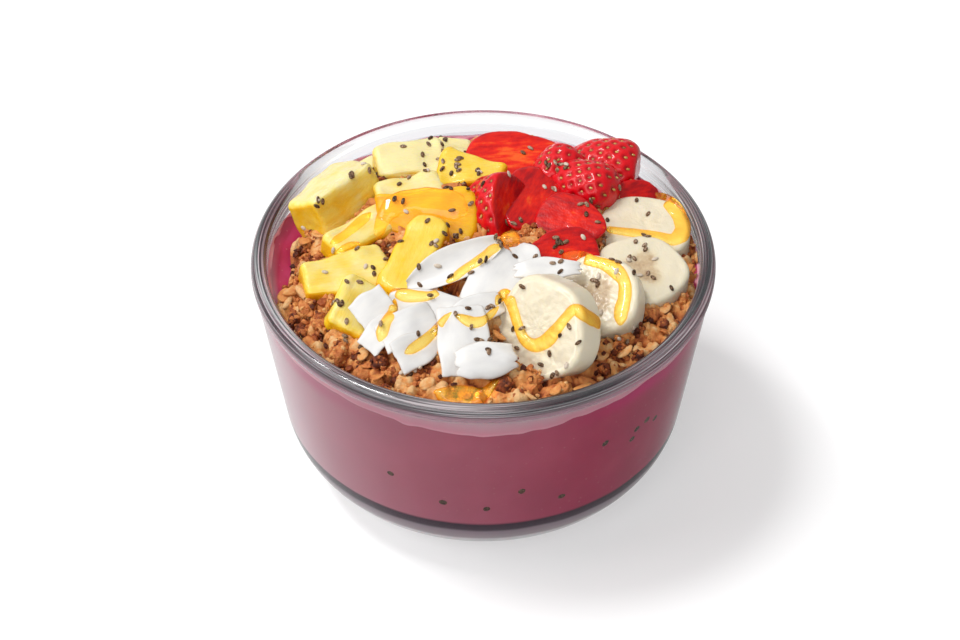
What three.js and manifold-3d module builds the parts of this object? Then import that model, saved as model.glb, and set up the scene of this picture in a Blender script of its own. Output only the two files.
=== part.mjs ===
// Dragon fruit smoothie bowl: a round glass bowl filled with magenta fruit puree, a heap of granola
// on it, and pineapple, strawberries, banana and coconut flakes on the granola.
// Units are millimetres, +Z is up, and the origin is the middle of the bowl's base on the table.
import * as THREE from "three";
import { mergeVertices } from "three/addons/utils/BufferGeometryUtils.js";
import Module from "manifold-3d";

const wasm = await Module();
wasm.setup();

// ---------------------------------------------------------------- driving dimensions

const RIM_RADIUS = 75; // outside of the rolled rim
const BOWL_HEIGHT = 82;
const WALL = 4.4; // glass thickness of the side
const FLOOR = 6; // glass thickness of the base
const WALL_LEAN = 0.138; // inward run of the side for each millimetre down
const CORNER_RADIUS = 27; // outer round between side and base
const BEAD_WIDTH = 5.2; // rolled rim, across
const BEAD_HEIGHT = 6.6; // rolled rim, top to its lower edge
const BEAD_PROUD = 0.9; // how far the rim stands out from the side
const GAP = 0.3; // left between any two pieces

const PUREE_DEPTH = 12; // middle of the puree's surface, below the rim
const PUREE_CLIMB = 5.5; // how much higher it stands where it meets the glass
const HEAP_EDGE = -4.5; // granola at the glass, above the rim plane
const HEAP_TOP = 5; // middle of the granola, above the rim plane
const HEAP_FOOT = BOWL_HEIGHT - 9; // lowest granola at the glass

const ROUND_STEPS = 40; // facets round the bowl and its filling
const degrees = THREE.MathUtils.degToRad;

// ---------------------------------------------------------------- small tools

// A closed three.js geometry as a solid that can be cut.
function solidOf(geometry) {
  const bare = new THREE.BufferGeometry();
  bare.setAttribute("position", geometry.getAttribute("position"));
  if (geometry.index) bare.setIndex(geometry.index);
  const merged = mergeVertices(bare, 1e-4);
  const mesh = new wasm.Mesh({
    numProp: 3,
    vertProperties: merged.attributes.position.array,
    triVerts: new Uint32Array(merged.index.array),
  });
  return new wasm.Manifold(mesh);
}

// The largest body of a cut solid, without needless facets, as a three.js geometry.
function geometryOf(solid) {
  const bodies = solid.decompose();
  bodies.sort((a, b) => b.volume() - a.volume());
  const mesh = bodies[0].simplify(0.03).getMesh();
  const geometry = new THREE.BufferGeometry();
  geometry.setAttribute("position", new THREE.BufferAttribute(mesh.vertProperties, 3));
  geometry.setIndex(new THREE.BufferAttribute(mesh.triVerts, 1));
  return geometry;
}

// A closed skin from rings of points, each ring as long as the next; a ring of equal points is a pole.
function skin(rings) {
  const count = rings[0].length;
  const points = rings.flat();
  const faces = [];
  for (let i = 0; i + 1 < rings.length; i++) {
    for (let j = 0; j < count; j++) {
      const a = i * count + j;
      const b = i * count + ((j + 1) % count);
      faces.push(a, b, b + count, a, b + count, a + count);
    }
  }
  const geometry = new THREE.BufferGeometry();
  geometry.setAttribute("position", new THREE.Float32BufferAttribute(points.flat(), 3));
  geometry.setIndex(faces);
  return geometry;
}

// A body turned about Z, whose outline from the lower pole to the upper one may change with the angle.
function spun(outlineAt, steps) {
  const outlines = [];
  for (let j = 0; j < steps; j++) {
    const angle = (j / steps) * 2 * Math.PI;
    outlines.push(outlineAt(angle).map(([r, z]) => [r * Math.cos(angle), r * Math.sin(angle), z]));
  }
  return skin(outlines[0].map((_, i) => outlines.map((outline) => outline[i])));
}

// Where a piece lies: its middle, with its height above the rim plane, and its turn about Z, its tilt
// about its own X and its roll about its own Y, in degrees.
function placed({ at, turn = 0, tilt = 0, roll = 0 }) {
  const [x, y, above] = at;
  const angles = new THREE.Euler(degrees(tilt), degrees(roll), degrees(turn), "ZXY");
  const matrix = new THREE.Matrix4().makeRotationFromEuler(angles);
  return matrix.setPosition(x, y, BOWL_HEIGHT + above);
}

// ---------------------------------------------------------------- glass bowl

// Points of a round, from one angle to another, about a centre.
function round(centreR, centreZ, radiusR, radiusZ, from, to, steps) {
  const points = [];
  for (let i = 0; i <= steps; i++) {
    const angle = degrees(from + ((to - from) * i) / steps);
    points.push([centreR + radiusR * Math.cos(angle), centreZ + radiusZ * Math.sin(angle)]);
  }
  return points;
}

const leanAngle = THREE.MathUtils.radToDeg(Math.atan(WALL_LEAN));
const wallTopZ = BOWL_HEIGHT - BEAD_HEIGHT;
const wallTopR = RIM_RADIUS - BEAD_PROUD;

// The outline of the side, its corner and its base, from the axis out and up, set in by an offset.
function sideOutline(offset, floor, topZ) {
  const cornerR = CORNER_RADIUS - offset;
  const cornerZ = floor + cornerR;
  const slant = Math.cos(degrees(leanAngle));
  const tangentR = wallTopR - offset / slant;
  const drop = wallTopZ - cornerZ + cornerR * Math.sin(degrees(leanAngle));
  const centreR = tangentR - WALL_LEAN * drop - cornerR * slant;
  const corner = round(centreR, cornerZ, cornerR, cornerR, -90, -leanAngle, 5);
  const topR = tangentR + WALL_LEAN * (topZ - wallTopZ);
  return [[0, floor], ...corner, [topR, topZ]];
}

const outerSide = sideOutline(0, 0, wallTopZ);
const innerSide = sideOutline(WALL, FLOOR, wallTopZ);
const innerRimRadius = RIM_RADIUS - BEAD_WIDTH;
const beadMiddle = RIM_RADIUS - BEAD_WIDTH / 2;

function bowlGeometry() {
  const half = BEAD_HEIGHT / 2;
  const bead = [
    ...round(beadMiddle, BOWL_HEIGHT - half, BEAD_WIDTH / 2, half, -45, 90, 3),
    ...round(beadMiddle, BOWL_HEIGHT - 2, BEAD_WIDTH / 2, 2, 118, 180, 2),
  ];
  const outline = [...outerSide, ...bead, ...innerSide.toReversed()];
  const points = outline.map(([r, z]) => new THREE.Vector2(r, z));
  return new THREE.LatheGeometry(points, ROUND_STEPS).rotateX(Math.PI / 2);
}

// The room inside the bowl, with the gap kept to the glass, and the space above the rim.
function roomSolid() {
  const side = sideOutline(WALL + GAP, FLOOR + GAP, wallTopZ);
  const top = BOWL_HEIGHT + 40;
  const rim = innerRimRadius - GAP;
  const outline = [...side, [rim, BOWL_HEIGHT - 2], [rim, top], [0, top]];
  return solidOf(spun(() => outline, ROUND_STEPS));
}

// ---------------------------------------------------------------- puree

// Slow waves that keep a surface from being flat.
function waves(x, y) {
  return Math.sin(x * 0.17 + 0.6) * Math.cos(y * 0.13 - 0.4) + 0.5 * Math.sin(x * 0.31 - y * 0.27);
}

// Height of the puree's surface. It climbs the glass at the sides, less at the back and least in front.
function pureeTop(x, y) {
  const far = Math.hypot(x, y) || 1;
  const inFront = Math.max(0, -y / far);
  const behind = Math.max(0, y / far);
  const climb = PUREE_CLIMB * (1 - 0.8 * inFront ** 6 - 0.35 * behind ** 2);
  return BOWL_HEIGHT - PUREE_DEPTH + climb * (far / innerRimRadius) ** 6 + 0.5 * waves(x, y);
}

// All that lies below the puree's surface.
function pureeBlock() {
  const surface = spun((angle) => {
    const outline = [[0, -1], [90, -1]];
    for (const r of [90, 66, 60, 52, 0]) {
      const reach = Math.min(r, innerRimRadius);
      outline.push([r, pureeTop(reach * Math.cos(angle), reach * Math.sin(angle))]);
    }
    return outline;
  }, ROUND_STEPS);
  return solidOf(surface);
}

// ---------------------------------------------------------------- granola

// Lumps of baked oats a few millimetres high.
function lumps(x, y) {
  const broad = Math.sin(x * 0.31 + 1.3 * Math.sin(y * 0.17)) * Math.sin(y * 0.28 + Math.sin(x * 0.13));
  const narrow = Math.sin(x * 0.49 - y * 0.22) * Math.cos(y * 0.46 + x * 0.15);
  return 1.7 * broad + 1.1 * narrow;
}

// How far out the granola reaches: to the glass in front, less at the left, the back and the right.
function granolaReach(angle) {
  const behind = Math.max(0, Math.sin(angle + 0.1));
  const left = Math.exp(-(((angle - Math.PI * 0.94) / 0.42) ** 2));
  return innerRimRadius + 2 - 9 * behind - 11 * left + 1.6 * Math.sin(angle * 9) + Math.sin(angle * 17);
}

function granolaTop(x, y, reach) {
  const out = Math.hypot(x, y) / reach;
  const rise = (HEAP_TOP - HEAP_EDGE) * (1 - out ** 2.4) - 2.5 * out ** 12;
  return BOWL_HEIGHT + HEAP_EDGE + rise + lumps(x, y) * Math.min(1, 2 * out);
}

// The heap, with a dished underside sunk into the puree.
function granolaSolid(grow = 0) {
  const bottom = BOWL_HEIGHT - PUREE_DEPTH - 2 - grow;
  const heap = spun((angle) => {
    const reach = granolaReach(angle);
    const outline = [[0, bottom], [reach - 12, bottom], [reach + grow, HEAP_FOOT - grow]];
    for (const share of [1, 0.95, 0.84, 0.68, 0]) {
      const r = reach * share;
      outline.push([r, granolaTop(r * Math.cos(angle), r * Math.sin(angle), reach)]);
    }
    outline[3][0] += grow;
    return outline;
  }, ROUND_STEPS);
  return solidOf(heap);
}

// ---------------------------------------------------------------- pineapple

// A chunk cut from a ring of pineapple: narrow at the core, wide and round at the rind side.
// Its length lies along X, narrow end at -X, and its thickness along Z.
function pineappleChunk({ long, narrow, wide, thick }, grow = 0) {
  const bevel = 1.2;
  const half = long / 2 - bevel;
  const shape = new THREE.Shape();
  shape.moveTo(-half, bevel - narrow / 2);
  shape.lineTo(half * 0.86, bevel - wide / 2);
  shape.quadraticCurveTo(half * 1.14, 0, half * 0.86, wide / 2 - bevel);
  shape.lineTo(-half, narrow / 2 - bevel);
  shape.closePath();
  const geometry = new THREE.ExtrudeGeometry(shape, {
    depth: thick - 2 * bevel,
    steps: 1,
    curveSegments: 3,
    bevelEnabled: true,
    bevelSegments: 1,
    bevelThickness: bevel + grow,
    bevelSize: bevel + grow,
  });
  return geometry.translate(0, 0, bevel - thick / 2);
}

const PINEAPPLE = [
  { at: [-48.3, 24.2, -0.6], turn: 54, tilt: -28, long: 30, narrow: 14, wide: 21, thick: 17 },
  { at: [-24, 42, -1], turn: 10, tilt: 6, long: 25, narrow: 15, wide: 20, thick: 13 },
  { at: [-4, 33, 2.5], turn: 170, tilt: -12, long: 24, narrow: 8, wide: 18, thick: 11 },
  { at: [-18, 12, 2], turn: -3, tilt: 34, long: 35, narrow: 13, wide: 21, thick: 14 },
  { at: [-21.3, -9, 1.8], turn: 67, roll: -13, long: 34, narrow: 15, wide: 14, thick: 13 },
  { at: [-43.5, -13, -2.5], turn: 15, tilt: 14, long: 29, narrow: 13, wide: 19, thick: 13 },
  { at: [-40, -29.5, -2], turn: 70, tilt: 20, roll: -10, long: 21, narrow: 14, wide: 18, thick: 13 },
  { at: [-39, 5, 0], turn: 42, tilt: 10, long: 28, narrow: 11, wide: 14, thick: 13 },
  { at: [-37, 47, -6], turn: 30, long: 15, narrow: 8, wide: 11, thick: 9 },
  { at: [-10, 54, -3], turn: -10, long: 14, narrow: 8, wide: 10, thick: 8 },
  { at: [-24, 24.5, 0.5], turn: 12, tilt: 8, long: 24, narrow: 12, wide: 15, thick: 11 },
];

// ---------------------------------------------------------------- strawberries

// A whole strawberry along X: rounded tip at -X, widest two thirds along, soft shoulder at +X.
function strawberry({ long, radius }, grow = 0) {
  const rings = 7;
  const widest = 0.66;
  const outline = [];
  for (let i = 0; i <= rings; i++) {
    const t = (1 - Math.cos((Math.PI * i) / rings)) / 2;
    const below = t < widest;
    const share = below ? 1 - t / widest : (t - widest) / (1 - widest);
    const full = below ? (1 - share ** 2.1) ** 0.72 : (1 - share ** 2.6) ** 0.55;
    outline.push([(radius + grow) * full, (t - 0.5) * (long + 2 * grow)]);
  }
  outline[0][0] = 0;
  outline[rings][0] = 0;
  return spun(() => outline, 10).rotateY(Math.PI / 2);
}

// The knife's cuts: of each cut, the side that its direction points to is kept.
const FACE_UP = [[0, 0, -1], 0];
const SKIN_UP = [[0, 0, 1], -3];

function cutStrawberry(piece, grow = 0) {
  let solid = solidOf(strawberry(piece, grow));
  for (const [direction, offset] of piece.cuts) {
    solid = solid.trimByPlane(direction, offset - grow);
  }
  return solid;
}

const STRAWBERRIES = [
  { at: [11.5, 44, 3], turn: 186, tilt: -10, long: 35, radius: 12, cuts: [FACE_UP] },
  { at: [40, 42, -2], turn: -12, long: 30, radius: 12, cuts: [[[-1, 0, 0], -12], SKIN_UP] },
  { at: [24, 34.5, 1.5], turn: 48, roll: -6, long: 23, radius: 9.5, cuts: [SKIN_UP] },
  { at: [33, 27, 4], turn: -26, tilt: 10, long: 25, radius: 9.5, cuts: [SKIN_UP] },
  { at: [7, 12, 5], turn: 74, roll: -16, long: 25, radius: 11.5, cuts: [[[0, 0.85, -0.53], -3]] },
  { at: [28.5, 5.5, 7.2], turn: 160, tilt: -18, long: 24, radius: 10, cuts: [FACE_UP] },
  { at: [45, 22.5, 0], turn: 22, tilt: 40, long: 29, radius: 7, cuts: [FACE_UP, [[0, 0, 1], -4]] },
  { at: [25, -9, 5.5], turn: 12, tilt: 24, long: 25, radius: 9.5, cuts: [FACE_UP] },
  { at: [0.5, 22.5, 1.6], turn: 30, long: 17, radius: 7.5, cuts: [SKIN_UP] },
  { at: [16, 17, 7], turn: 66, tilt: 14, long: 31, radius: 10.5, cuts: [FACE_UP] },
];

// ---------------------------------------------------------------- banana

// A slice of peeled banana about Z, a little five-sided, with soft edges.
function bananaSlice({ radius, thick }, grow = 0) {
  const edge = 1.3;
  const half = thick / 2;
  return spun((angle) => {
    const ridge = 1 + 0.025 * Math.cos(5 * angle + 0.7) + 0.02 * Math.cos(2 * angle);
    const full = radius * ridge + grow;
    return [
      [0, -half - grow],
      [full - edge, -half - grow],
      [full, -half + edge],
      [full, half - edge],
      [full - edge, half + grow],
      [0, half + grow],
    ];
  }, 14);
}

const BANANAS = [
  { at: [20.4, -44.5, 6.2], turn: -47, tilt: 59.5, radius: 16.5, thick: 11 },
  { at: [36.5, -28.5, 3], turn: -35, tilt: 30, radius: 14, thick: 11 },
  { at: [50.3, -12, -2], turn: 6, tilt: 8, radius: 14.7, thick: 10 },
  { at: [52, 9.4, -3], turn: -20, tilt: 5, radius: 15.2, thick: 10 },
];

// ---------------------------------------------------------------- coconut

// A shaved flake: a thin strip along X, bent along its length, cupped across it and a little twisted.
function coconutFlake({ long, wide, bend = 15, cup = 0, twist = 0, taper = 0, blunt = 0 }, grow = 0) {
  const thick = 1.3;
  const along = 6;
  const across = 2;
  const sheet = (side) => {
    const rows = [];
    for (let i = 0; i <= along; i++) {
      const u = (i / along) * 2 - 1;
      const x = (u * long) / 2;
      const full = (1 - (1 - blunt) * 0.55 * Math.abs(u) ** 3.2) * (1 + taper * u);
      const row = [];
      for (let j = 0; j <= across; j++) {
        const v = (j / across) * 2 - 1;
        const y = (v * wide * full) / 2 + 0.5 * Math.sin(4 * u + 2 * v);
        const lift = -degrees(bend) * x * x / long - cup * v * v + degrees(twist) * u * y;
        row.push([x + u * grow, y + v * grow, lift + side * (thick / 2 + 1.5 * grow)]);
      }
      rows.push(row);
    }
    return rows;
  };
  const upper = sheet(1);
  const lower = sheet(-1);
  // Each ring goes under one row and back over it; the two end rings are pressed flat.
  const rings = upper.map((row, i) => [...lower[i], ...row.toReversed()]);
  const flatRing = (i) => {
    const row = upper[i].map((point, j) => point.map((value, k) => (value + lower[i][j][k]) / 2));
    return [...row, ...row.toReversed()];
  };
  return skin([flatRing(0), ...rings, flatRing(along)]);
}

const COCONUT = [
  { at: [-9, -20.5, 11], turn: 30, tilt: 25, roll: -15, long: 32, wide: 11, bend: 8, cup: -1.8, blunt: 0.1 },
  { at: [3, -27.5, 10], turn: 58, tilt: 14, roll: -16, long: 25, wide: 15, bend: 14, taper: 0.12, blunt: 0.7 },
  { at: [13.5, -16, 11], turn: -64, tilt: 8, long: 13, wide: 8, blunt: 0.6 },
  { at: [-34, -37, 7.5], turn: 45, tilt: 31, roll: -27, long: 12, wide: 11, bend: 5, blunt: 1 },
  { at: [-15.5, -37, 6.3], turn: -4, tilt: 24, long: 27, wide: 13, bend: 10, taper: -0.2, blunt: 0.9 },
  { at: [-30.5, -44, 5.2], turn: 52, tilt: 16, roll: -14, long: 16, wide: 9, blunt: 0.9 },
  { at: [-19.5, -50.5, 3.5], turn: 34, tilt: 30, long: 16, wide: 10, taper: -0.3, blunt: 0.8 },
  { at: [-6, -50, 6.2], turn: 96, roll: -30, long: 22, wide: 16, bend: 8, blunt: 1 },
  { at: [1, -58, 6], turn: 12, tilt: 30, long: 16, wide: 12, bend: 18, cup: 1.5, blunt: 0.6 },
  { at: [-2.5, -39.5, 10], turn: 22, tilt: 22, long: 18, wide: 8, taper: 0.2, blunt: 0.6 },
  { at: [20, -26, 14.5], turn: 2, tilt: 20, long: 20, wide: 7, blunt: 0.5 },
  { at: [-23, -43.5, 6.5], turn: 34, tilt: 22, roll: -6, long: 19, wide: 11, blunt: 0.9 },
];

// ---------------------------------------------------------------- putting it together

const looks = {
  glass: { color: 0xe8f0ee, roughness: 0.03, metalness: 0, transparent: true, opacity: 0.35 },
  puree: { color: 0x9a2f5e, roughness: 0.4, metalness: 0 },
  granola: { color: 0xa86a3e, roughness: 0.8, metalness: 0 },
  pineapple: { color: 0xf4cd52, roughness: 0.3, metalness: 0 },
  strawberry: { color: 0xc8202c, roughness: 0.25, metalness: 0 },
  banana: { color: 0xe8dcb8, roughness: 0.4, metalness: 0 },
  coconut: { color: 0xf4f3f0, roughness: 0.5, metalness: 0 },
};

const bowl = new THREE.Group();

function addPiece(name, look, geometry, matrix = new THREE.Matrix4()) {
  const mesh = new THREE.Mesh(geometry, new THREE.MeshStandardMaterial(looks[look]));
  mesh.name = name;
  matrix.decompose(mesh.position, mesh.quaternion, mesh.scale);
  bowl.add(mesh);
}

// Every loose piece, from the top of the pile to the bottom: its own solid, and one grown by the gap.
function pile(look, pieces, make) {
  return pieces.map((piece, i) => {
    const matrix = placed(piece);
    return {
      name: `${look}_${String(i + 1).padStart(2, "0")}`,
      look,
      matrix,
      solid: make(piece, 0).transform(matrix.elements),
      grown: make(piece, GAP).transform(matrix.elements),
    };
  });
}

const loosePieces = [
  ...pile("coconut", COCONUT, (piece, grow) => solidOf(coconutFlake(piece, grow))),
  ...pile("banana", BANANAS, (piece, grow) => solidOf(bananaSlice(piece, grow))),
  ...pile("strawberry", STRAWBERRIES, cutStrawberry),
  ...pile("pineapple", PINEAPPLE, (piece, grow) => solidOf(pineappleChunk(piece, grow))),
];

// Each piece gives way to those above it, then the granola to all of them, and the puree last.
const room = roomSolid();
let above = null;
for (const piece of loosePieces) {
  const kept = piece.solid.intersect(room);
  const shown = geometryOf(above ? kept.subtract(above) : kept);
  addPiece(piece.name, piece.look, shown.applyMatrix4(piece.matrix.clone().invert()), piece.matrix);
  above = above ? above.add(piece.grown) : piece.grown;
}
addPiece("granola", "granola", geometryOf(granolaSolid().intersect(room).subtract(above)));
const sunk = above.add(granolaSolid(GAP));
addPiece("puree", "puree", geometryOf(pureeBlock().intersect(room).subtract(sunk)));
addPiece("glass_bowl", "glass", bowlGeometry());

export default bowl;
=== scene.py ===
import math

import bmesh
import bpy
import numpy as np
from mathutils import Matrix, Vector
from mathutils.bvhtree import BVHTree


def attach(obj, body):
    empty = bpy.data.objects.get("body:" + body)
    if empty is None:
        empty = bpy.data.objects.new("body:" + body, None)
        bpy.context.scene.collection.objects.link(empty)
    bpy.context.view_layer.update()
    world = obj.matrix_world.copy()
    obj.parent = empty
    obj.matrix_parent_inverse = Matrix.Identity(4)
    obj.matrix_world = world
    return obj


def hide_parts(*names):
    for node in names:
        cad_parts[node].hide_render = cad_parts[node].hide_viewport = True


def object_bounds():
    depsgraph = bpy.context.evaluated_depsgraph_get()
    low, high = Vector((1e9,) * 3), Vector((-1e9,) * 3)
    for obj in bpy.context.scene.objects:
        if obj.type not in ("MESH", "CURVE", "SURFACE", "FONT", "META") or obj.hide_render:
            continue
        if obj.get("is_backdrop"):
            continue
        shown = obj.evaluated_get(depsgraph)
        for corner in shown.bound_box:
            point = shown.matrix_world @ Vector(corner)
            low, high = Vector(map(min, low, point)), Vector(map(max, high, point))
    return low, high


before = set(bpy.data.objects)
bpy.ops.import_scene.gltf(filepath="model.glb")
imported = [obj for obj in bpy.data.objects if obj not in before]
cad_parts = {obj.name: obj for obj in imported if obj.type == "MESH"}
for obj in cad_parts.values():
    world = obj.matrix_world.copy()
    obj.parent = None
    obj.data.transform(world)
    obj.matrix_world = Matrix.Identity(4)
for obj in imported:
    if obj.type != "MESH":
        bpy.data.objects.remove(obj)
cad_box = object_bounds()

# ---------------------------------------- camera, light and floor
# A studio table shot. The camera looks down on the bowl, soft lamps stand on the left with a
# broad weak one in front, and the floor is a plain pale sheet that runs to the horizon.
RIM_PLANE = 82.0  # mm above the table
VIEW_ELEVATION = math.radians(40.8)
VIEW_DISTANCE = 0.79  # m, from the middle of the rim


def into_scene(name, data):
    """A new object of the scene that shows the data."""
    thing = bpy.data.objects.new(name, data)
    bpy.context.scene.collection.objects.link(thing)
    return thing


camera = into_scene("camera", bpy.data.cameras.new("camera"))
camera.data.sensor_width = 36
camera.data.lens = 91.9
camera.data.shift_x = -0.0033
camera.data.shift_y = -0.0744
camera.location = (
    0,
    -VIEW_DISTANCE * math.cos(VIEW_ELEVATION),
    RIM_PLANE / 1000 + VIEW_DISTANCE * math.sin(VIEW_ELEVATION),
)
camera.rotation_euler = (math.pi / 2 - VIEW_ELEVATION, 0, 0)
bpy.context.scene.camera = camera
bpy.context.scene.view_settings.view_transform = "Standard"

LAMPS = [  # name, strength, width in degrees, side it stands on
    ("soft_lamp", 1.35, 14, (-0.40, 0.08, 0.9)),
    ("side_lamp", 0.8, 30, (-0.80, -0.10, 0.60)),
    ("small_lamp", 0.3, 5, (-0.5, 0.25, 0.83)),
    ("front_fill", 0.75, 40, (-0.15, -0.72, 0.68)),
]
for name, strength, width, side in LAMPS:
    lamp = into_scene(name, bpy.data.lights.new(name, "SUN"))
    lamp.data.energy = strength
    lamp.data.angle = math.radians(width)
    lamp.rotation_euler = Vector(side).to_track_quat("Z", "Y").to_euler()

world = bpy.data.worlds.new("studio")
world.use_nodes = True
bpy.context.scene.world = world


def add_node(owner, kind, inputs, **settings):
    """A shader node. An input is a number, a colour or another node's output, which is linked."""
    tree = owner.node_tree
    node = tree.nodes.new(kind)
    for key, value in settings.items():
        setattr(node, key, value)
    for key, value in inputs.items():
        if isinstance(value, bpy.types.NodeSocket):
            tree.links.new(value, node.inputs[key])
        else:
            node.inputs[key].default_value = value
    return node


def add_ramp(owner, factor, stops):
    """A colour that runs through the given (place, red, green, blue) stops as the factor rises."""
    ramp = add_node(owner, "ShaderNodeValToRGB", {0: factor})
    elements = ramp.color_ramp.elements
    while len(elements) < len(stops):
        elements.new(0.5)
    for element, (place, *colour) in zip(elements, stops):
        element.position = place
        element.color = (*colour, 1)
    return ramp.outputs["Color"]


def to_range(owner, value, low, high, first=0.0, last=1.0):
    """Runs from first to last while the value runs from low to high."""
    return add_node(owner, "ShaderNodeMapRange", {0: value, 1: low, 2: high, 3: first, 4: last}).outputs[0]


def blend(owner, share, first, second):
    """The first colour where the share is 0 and the second where it is 1."""
    inputs = {"Factor": share, 6: first, 7: second}
    return add_node(owner, "ShaderNodeMix", inputs, data_type="RGBA").outputs[2]


sky = add_node(world, "ShaderNodeTexCoord", {}).outputs["Generated"]


def sky_colour(side, stops):
    """A colour that changes across the sky: the cosine of the angle to one side of the room,
    moved from -1..1 to 0..1, picks it from the stops."""
    cosine = add_node(world, "ShaderNodeVectorMath", {0: sky, 1: side}, operation="DOT_PRODUCT")
    return add_ramp(world, to_range(world, cosine.outputs["Value"], -1, 1), stops)


room = sky_colour((-0.75, 0.1, 0.6), [
    (0.0, 0.42, 0.43, 0.45),
    (0.45, 0.62, 0.62, 0.63),
    (0.75, 0.95, 0.95, 0.95),
    (1.0, 1.15, 1.15, 1.14),
])
below = sky_colour((-0.8, 0.6, 0), [
    (0.40, 0.6, 0.6, 0.6),
    (0.62, 0.9, 0.9, 0.9),
    (0.78, 1.7, 1.7, 1.7),
    (0.86, 2.4, 2.4, 2.4),
])
sky_height = add_node(world, "ShaderNodeSeparateXYZ", {0: sky}).outputs["Z"]
background = world.node_tree.nodes["Background"]
background.inputs["Strength"].default_value = 0.5
all_round = blend(world, to_range(world, sky_height, -0.1, 0.0), below, room)
world.node_tree.links.new(all_round, background.inputs["Color"])


def new_material(name, **values):
    """A material whose Principled sockets named by the keywords get their values."""
    material = bpy.data.materials.new(name)
    material.use_nodes = True
    for key, value in values.items():
        material.node_tree.nodes["Principled BSDF"].inputs[key.replace("_", " ")].default_value = value
    return material


def link(material, output, socket):
    """Feeds a node's output into a socket of the material's Principled shader."""
    shader = material.node_tree.nodes["Principled BSDF"]
    material.node_tree.links.new(output, shader.inputs[socket])


FLOOR_REACH = 9
FLOOR_Z = -2e-4  # just under the bowl's base
corners = ((-1, -1), (1, -1), (1, 1), (-1, 1))
floor = into_scene("floor", bpy.data.meshes.new("floor"))
floor.data.from_pydata([(x * FLOOR_REACH, y * FLOOR_REACH, FLOOR_Z) for x, y in corners], [], [(0, 1, 2, 3)])
floor_paint = new_material(
    "floor_paint", Base_Color=(0.7, 0.7, 0.7, 1), Roughness=0.75, Specular_IOR_Level=0.2,
    Emission_Color=(1, 1, 1, 1), Emission_Strength=0.34,
)
floor.data.materials.append(floor_paint)
floor.visible_glossy = False  # the bowl mirrors the dim studio, not the bright sheet
floor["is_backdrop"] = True

# ---------------------------------------- glass bowl
# Pressed clear glass with a flat base, a wide round corner, a side that leans out and a rolled
# bead at the rim. It is one surface, a closed outline turned about the bowl's axis. The bead has
# its own glass, with fine dark and bright lines painted round it as reflections that fade out
# towards the back, and the pink of the puree painted into its lower front as painted refraction.
# The upper back of the wall is tinted grey as painted shade.
RIM_RADIUS = 75.0
WALL = 4.4
FLOOR_THICK = 6.0
WALL_LEAN = 0.138  # inward run of the side for each millimetre down
CORNER_RADIUS = 27.0
BEAD_WIDTH = 5.2
BEAD_HEIGHT = 6.6
BEAD_PROUD = 0.9
BEAD_RADIUS = RIM_RADIUS - BEAD_WIDTH / 2
INNER_RIM = RIM_RADIUS - BEAD_WIDTH
WALL_TOP = RIM_PLANE - BEAD_HEIGHT
GLASS_STEPS = 256
CORNER_STEPS = 24
SIDE_STEPS = 12


def arc(centre_r, centre_z, radius_r, radius_z, start, stop, steps):
    """Points (r, z) of an ellipse about a centre, from one angle in degrees to another."""
    angles = np.radians(np.linspace(start, stop, steps + 1))
    return np.stack([centre_r + radius_r * np.cos(angles), centre_z + radius_z * np.sin(angles)], 1)


def side_outline(offset, floor_z):
    """The bowl's side set in by an offset: from the axis out along the base, round the corner
    and up the leaning side, which meets the corner's round at a tangent."""
    lean = math.atan(WALL_LEAN)
    corner = CORNER_RADIUS - offset
    corner_z = floor_z + corner
    top_r = RIM_RADIUS - BEAD_PROUD - offset / math.cos(lean)
    drop = WALL_TOP - corner_z + corner * math.sin(lean)
    corner_r = top_r - WALL_LEAN * drop - corner * math.cos(lean)
    base = np.stack([np.linspace(0, corner_r, SIDE_STEPS, endpoint=False), np.full(SIDE_STEPS, floor_z)], 1)
    bend = arc(corner_r, corner_z, corner, corner, -90, -math.degrees(lean), CORNER_STEPS)
    share = np.linspace(0, 1, SIDE_STEPS + 1)[1:, None]
    side = bend[-1] + share * (np.array([top_r, WALL_TOP]) - bend[-1])
    return np.concatenate([base, bend, side])


def wall_radius(z, offset=WALL):
    """Inside radius of the glass at each height: the height looked up in the inner outline."""
    outline = side_outline(offset, FLOOR_THICK - WALL + offset)
    keep = outline[:, 1] > outline[0, 1]
    inside = np.interp(z, outline[keep, 1], outline[keep, 0])
    return np.where(z > WALL_TOP, np.minimum(inside, INNER_RIM + WALL - offset), inside)


def circle(steps):
    """The points (x, y) of a round of radius 1, and their angles."""
    angles = np.arange(steps) * 2 * math.pi / steps
    return np.stack([np.cos(angles), np.sin(angles)], 1), angles


def ring_at(ring, radius, z):
    """A circle at a radius and a height, which are numbers or hold one value for each point."""
    return np.column_stack([np.reshape(radius, (-1, 1)) * ring, z + np.zeros(len(ring))])


def close_rings(rings, first, last):
    """Joins rings of points (ring, step, xyz) into one closed skin with a pole at each end."""
    count, steps, _ = rings.shape
    points = np.concatenate([rings.reshape(-1, 3), [first, last]])
    i, j = np.meshgrid(np.arange(count - 1), np.arange(steps), indexing="ij")
    a = (i * steps + j).ravel()
    b = (i * steps + (j + 1) % steps).ravel()
    quads = np.stack([a, b, b + steps, a + steps], 1)
    step = np.arange(steps)
    after = (step + 1) % steps
    low, high = count * steps, count * steps + 1
    top = (count - 1) * steps
    caps = np.concatenate([
        np.stack([np.full(steps, low), after, step], 1),
        np.stack([np.full(steps, high), top + step, top + after], 1),
    ])
    return points, quads.tolist() + caps.tolist()


shown = []  # (points in mm, faces) of the food, for things that lie on it


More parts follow.
